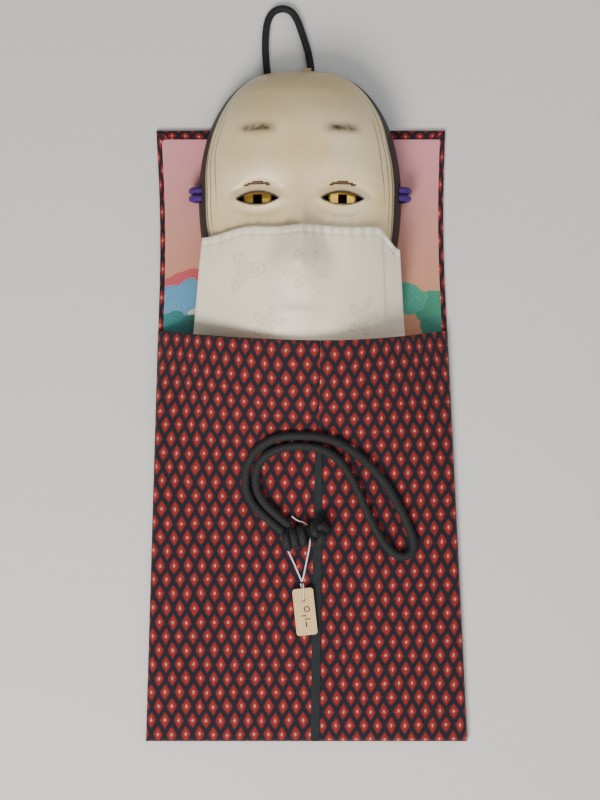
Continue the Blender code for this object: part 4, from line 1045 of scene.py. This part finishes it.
def whiteGround():
    # Powdered shell in glue, polished over carved cypress: creamy, softly glossy, stained ochre with age;
    # painted shade darkens it towards the crown and in the carved recesses
    material, tree, shader = startMaterial("polished shell-white ground on cypress", 0.34, Coat_Weight=0.12,
                                           Coat_Roughness=0.3)
    place = addNode(tree, "TexCoord").outputs["Object"]
    read = {key: addNode(tree, "Attribute", {"attribute_name": key}).outputs["Fac"]
            for key in ("ink", "lash", "rouge", "teeth", "rim", "along", "hollow")}
    stain = addNode(tree, "TexNoise", None, {"Vector": place, "Scale": 22.0, "Detail": 5.0,
                                             "Roughness": 0.55})
    aged = addNode(tree, "MapRange", None, {0: stain.outputs[0], 1: 0.35, 2: 0.72})
    cream = blend(tree, aged.outputs[0], toLinear("#f2dfb6"), toLinear("#e2c68d"))
    # painted shade: the white ground grows darker towards the crown, where the forehead turns away from the
    # light
    crownShade = addNode(tree, "MapRange", None, {0: read["along"], 1: 0.45, 2: 1.0, 3: 0.0, 4: 0.6})
    crownShaded = blend(tree, crownShade.outputs[0], cream, toLinear("#b3996b"))
    # painted shade: darker cream in the carved recesses of the face, deepest where they sink furthest
    recessShade = maths(tree, "MULTIPLY", read["hollow"], 0.55)
    shaded = blend(tree, recessShade, crownShaded, toLinear("#c9ad78"))
    # Ink hair: a solid edge, and single strands drawn beside it down each temple
    sway = noise(tree, place, 16.0, 2.0)
    swayed = maths(tree, "MULTIPLY_ADD", sway.outputs[0], 0.22, read["rim"])
    capped = addNode(tree, "MapRange", None, {0: swayed, 1: 0.60, 2: 0.55})
    strands = capped.outputs[0]
    for edge, width, low, high in ((0.67, 0.007, -0.2, 0.85), (0.755, 0.006, 0.05, 0.7),
                                   (0.60, 0.012, -0.3, 0.55)):
        near = maths(tree, "COMPARE", swayed, edge, width)
        lower = addNode(tree, "MapRange", None, {0: read["along"], 1: low, 2: low + 0.2})
        upper = addNode(tree, "MapRange", None, {0: read["along"], 1: high, 2: high - 0.15})
        drawn = maths(tree, "MULTIPLY", lower.outputs[0], upper.outputs[0])
        shown = maths(tree, "MULTIPLY", drawn, near)
        faint = maths(tree, "MULTIPLY", shown, 0.75)
        strands = maths(tree, "MAXIMUM", strands, faint)
    smudge = noise(tree, place, 260.0, 3.0)
    grain = addNode(tree, "MapRange", None, {0: smudge.outputs[0], 1: 0.25, 2: 0.6, 3: 0.55, 4: 1.0})
    browInk = maths(tree, "MULTIPLY", read["ink"], grain.outputs[0])
    ink = maths(tree, "MAXIMUM", strands, browInk)
    lashed = maths(tree, "MAXIMUM", ink, read["lash"])
    lips = blend(tree, read["rouge"], shaded, toLinear("#9e3327"))
    inked = blend(tree, lashed, lips, toLinear("#17130f"))
    dark = blend(tree, read["teeth"], inked, toLinear("#120d0c"))
    # The hollow is bare cypress under brown lacquer: long grain, chisel marks
    stretched = addNode(tree, "Mapping", None, {"Vector": place, "Scale": (380.0, 22.0, 380.0)})
    grainLines = noise(tree, stretched.outputs[0], 1.0, 4.0)
    wood = blend(tree, grainLines.outputs[0], toLinear("#4a2c18"), toLinear("#7a5330"))
    within = maths(tree, "LESS_THAN", read["rim"], -0.5)
    colour = blend(tree, within, dark, wood)
    polish = addNode(tree, "MapRange", None, {0: stain.outputs[0], 1: 0.3, 2: 0.7, 3: 0.30, 4: 0.42})
    crackle = addNode(tree, "TexVoronoi", {"feature": "DISTANCE_TO_EDGE"}, {"Vector": place, "Scale": 75.0})
    fine = addNode(tree, "MapRange", None, {0: crackle.outputs["Distance"], 1: 0.0, 2: 0.02})
    emboss(tree, shader, fine.outputs[0], 0.03, 0.0002)
    tree.links.new(colour, shader.inputs["Base Color"])
    matt = maths(tree, "MULTIPLY_ADD", lashed, 0.4, polish.outputs[0])
    tree.links.new(matt, shader.inputs["Roughness"])
    return material


gofun = whiteGround()
shell = makeShell()
for side in (-1, 1):
    cutSide(shell, side)
paintShell(shell)
shell.data.transform(Matrix.Translation(Vector((mask["x"], mask["y"], mask["z"])) * mm))
shell.data.materials.clear()
shell.data.materials.append(gofun)
shell.data.shade_smooth()
shell.data.set_sharp_from_angle(angle=math.radians(38))
wears(shell, "mask", "mask_wood", "mask_shell")
print("mask carved", len(shell.data.polygons))


def giltBrass():
    # Fire-gilt brass sheet: warm gold, worn and tarnished to black towards the eye's corners
    material, tree, shader = startMaterial("fire-gilt brass", 0.3, Metallic=1.0)
    place = addNode(tree, "TexCoord").outputs["Object"]
    centred = addNode(tree, "Mapping", None, {"Vector": place, "Location": (-mask["x"] * mm, 0, 0)})
    apart = addNode(tree, "SeparateXYZ", None, {0: centred.outputs[0]})
    side = maths(tree, "ABSOLUTE", apart.outputs[0])
    across = maths(tree, "SUBTRACT", side, face["eye"][0] * mm)
    away = maths(tree, "ABSOLUTE", across)
    tarnish = noise(tree, place, 900.0, 3.0)
    ragged = maths(tree, "MULTIPLY_ADD", tarnish.outputs[0], 0.003, away)
    black = addNode(tree, "MapRange", None, {0: ragged, 1: 0.0088, 2: 0.0108})
    colour = blend(tree, black.outputs[0], toLinear("#f0c052"), toLinear("#0b0a08"))
    dull = addNode(tree, "MapRange", None, {0: black.outputs[0], 3: 0.28, 4: 0.7})
    tree.links.new(colour, shader.inputs["Base Color"])
    tree.links.new(dull.outputs[0], shader.inputs["Roughness"])
    return material


def dress(node, material):  # a CAD piece whose shape is right gets its finish
    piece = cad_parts[node]
    piece.data.materials.clear()
    piece.data.materials.append(material)


gilt = giltBrass()
for label in ("left", "right"):
    dress("eye_plate_" + label, gilt)
    dress("hank_band_" + label, purpleCord)


def grainedWood(name, pale, dark, across, roughness):  # long grain, with pores along it
    material, tree, shader = startMaterial(name, roughness)
    place = addNode(tree, "TexCoord").outputs["Object"]
    long = addNode(tree, "Mapping", None, {"Vector": place, "Rotation": (0, 0, -0.105),
                                            "Scale": (1 / (across * mm), 40.0, 1 / (across * mm))})
    rings = noise(tree, long.outputs[0], 1.0, 5.0)
    colour = blend(tree, rings.outputs[0], toLinear(pale), toLinear(dark))
    emboss(tree, shader, rings.outputs[0], 0.3, 0.0002)
    tree.links.new(colour, shader.inputs["Base Color"])
    return material


# Paulownia left as planed: pale, dry, with a soft straight grain
dress("tag_plate", grainedWood("planed paulownia", "#efd3a0", "#c79a5c", 1.1, 0.7))
# Handmade paper: matt, faintly fibrous
dress("crown_tab", grainedWood("handmade paper", "#c9b890", "#a4936c", 0.6, 0.9))

# The tag's marks and its loop of string
tag = {"size": (14.2, 32.0, 2.2), "top": -3.4, "hole": 8.0, "turn": 6.0, "lift": 2.6}
turnPoint = Vector(onPanel(-4.0, -84.0, stringLift))
farPoint = Vector(onPanel(-4.0, tagHangs[1] - tag["size"][1], stringLift))
tilt = math.atan2(turnPoint.z - farPoint.z, turnPoint.y - farPoint.y)
hangsAt = Vector(onPanel(tagHangs[0], tagHangs[1] - tie["string"] - gap, stringLift))
laid = Matrix.Rotation(tilt, 3, "X") @ Matrix.Rotation(math.radians(tag["turn"]), 3, "Z")
tagMiddle = tag["lift"] - stringLift + tag["size"][2] / 2
# Carbon ink on bare wood: black, soaked in, without gloss
tagInk = startMaterial("carbon ink", 0.8)[0]
tagInk.node_tree.nodes["Principled BSDF"].inputs["Base Color"].default_value = toLinear("#14120f")
inkTop = tagMiddle + tag["size"][2] / 2 + 0.05


def inkMark(name, kind, place, size):  # a ring or a bar, a hair above the wood
    bpy.ops.object.select_all(action="DESELECT")
    if kind == "ring":
        bpy.ops.mesh.primitive_torus_add(major_segments=32, minor_segments=8, major_radius=1.0,
                                         minor_radius=0.2)
    else:
        bpy.ops.mesh.primitive_cube_add(size=2)
        bpy.ops.object.mode_set(mode="EDIT")
        bpy.ops.mesh.bevel(offset=0.3, segments=3)
        bpy.ops.object.mode_set(mode="OBJECT")
    mark = isolate(name)
    for vertex in mark.data.vertices:
        flat = Vector((vertex.co.x * size[0], vertex.co.y * size[1],
                       vertex.co.z * 0.04 / max(abs(vertex.co.z), 1)))
        vertex.co = (hangsAt + laid @ (flat + Vector((place[0], place[1], inkTop)))) * mm
    mark.data.shade_smooth()
    mark.data.materials.append(tagInk)
    return wears(mark, "tag", "tag_wood")


inkMark("tagRing", "ring", (1.6, -17.6), (1.7, 1.7))
bars = ((-1.0, -22.0, 1.7, 0.35), (1.4, -24.4, 2.0, 0.35), (0.2, -28.0, 0.4, 2.0))
for k, (x, y, wide, tall) in enumerate(bars):
    inkMark(f"tagBar{k + 1}", "bar", (x, y), (wide, tall))

top, hole = tag["top"], tag["top"] - tag["hole"]
over = tagMiddle + tag["size"][2] / 2 + gap + tie["string"] / 2
under = tagMiddle - tag["size"][2] / 2 - gap - tie["string"] / 2
reach = tie["string"] / 2 + gap
loopLocal = [(reach, 0.0, tagMiddle), (reach, top + 1.0, over - 0.3), (reach * 0.6, top - 2.0, over),
             (0.0, hole + 1.8, over), (0.0, hole + 0.2, over - 0.5), (0.0, hole, tagMiddle),
             (0.0, hole + 0.2, under + 0.5), (0.0, hole + 1.8, under), (-reach * 0.6, top - 2.0, under),
             (-reach, top + 1.0, under + 0.3), (-reach, 0.0, tagMiddle - 0.2)]
loopPlaced = [tuple(hangsAt + laid @ Vector(point)) for point in loopLocal]
tagLoop = tubeAround("tagLoop", loopPlaced, tie["string"], 0.3, 16, twisted(3, 2.4, 0.25), whiteString)[0]
wears(tagLoop, "tag", "white_string", "tag_loop")
print("tag hung")
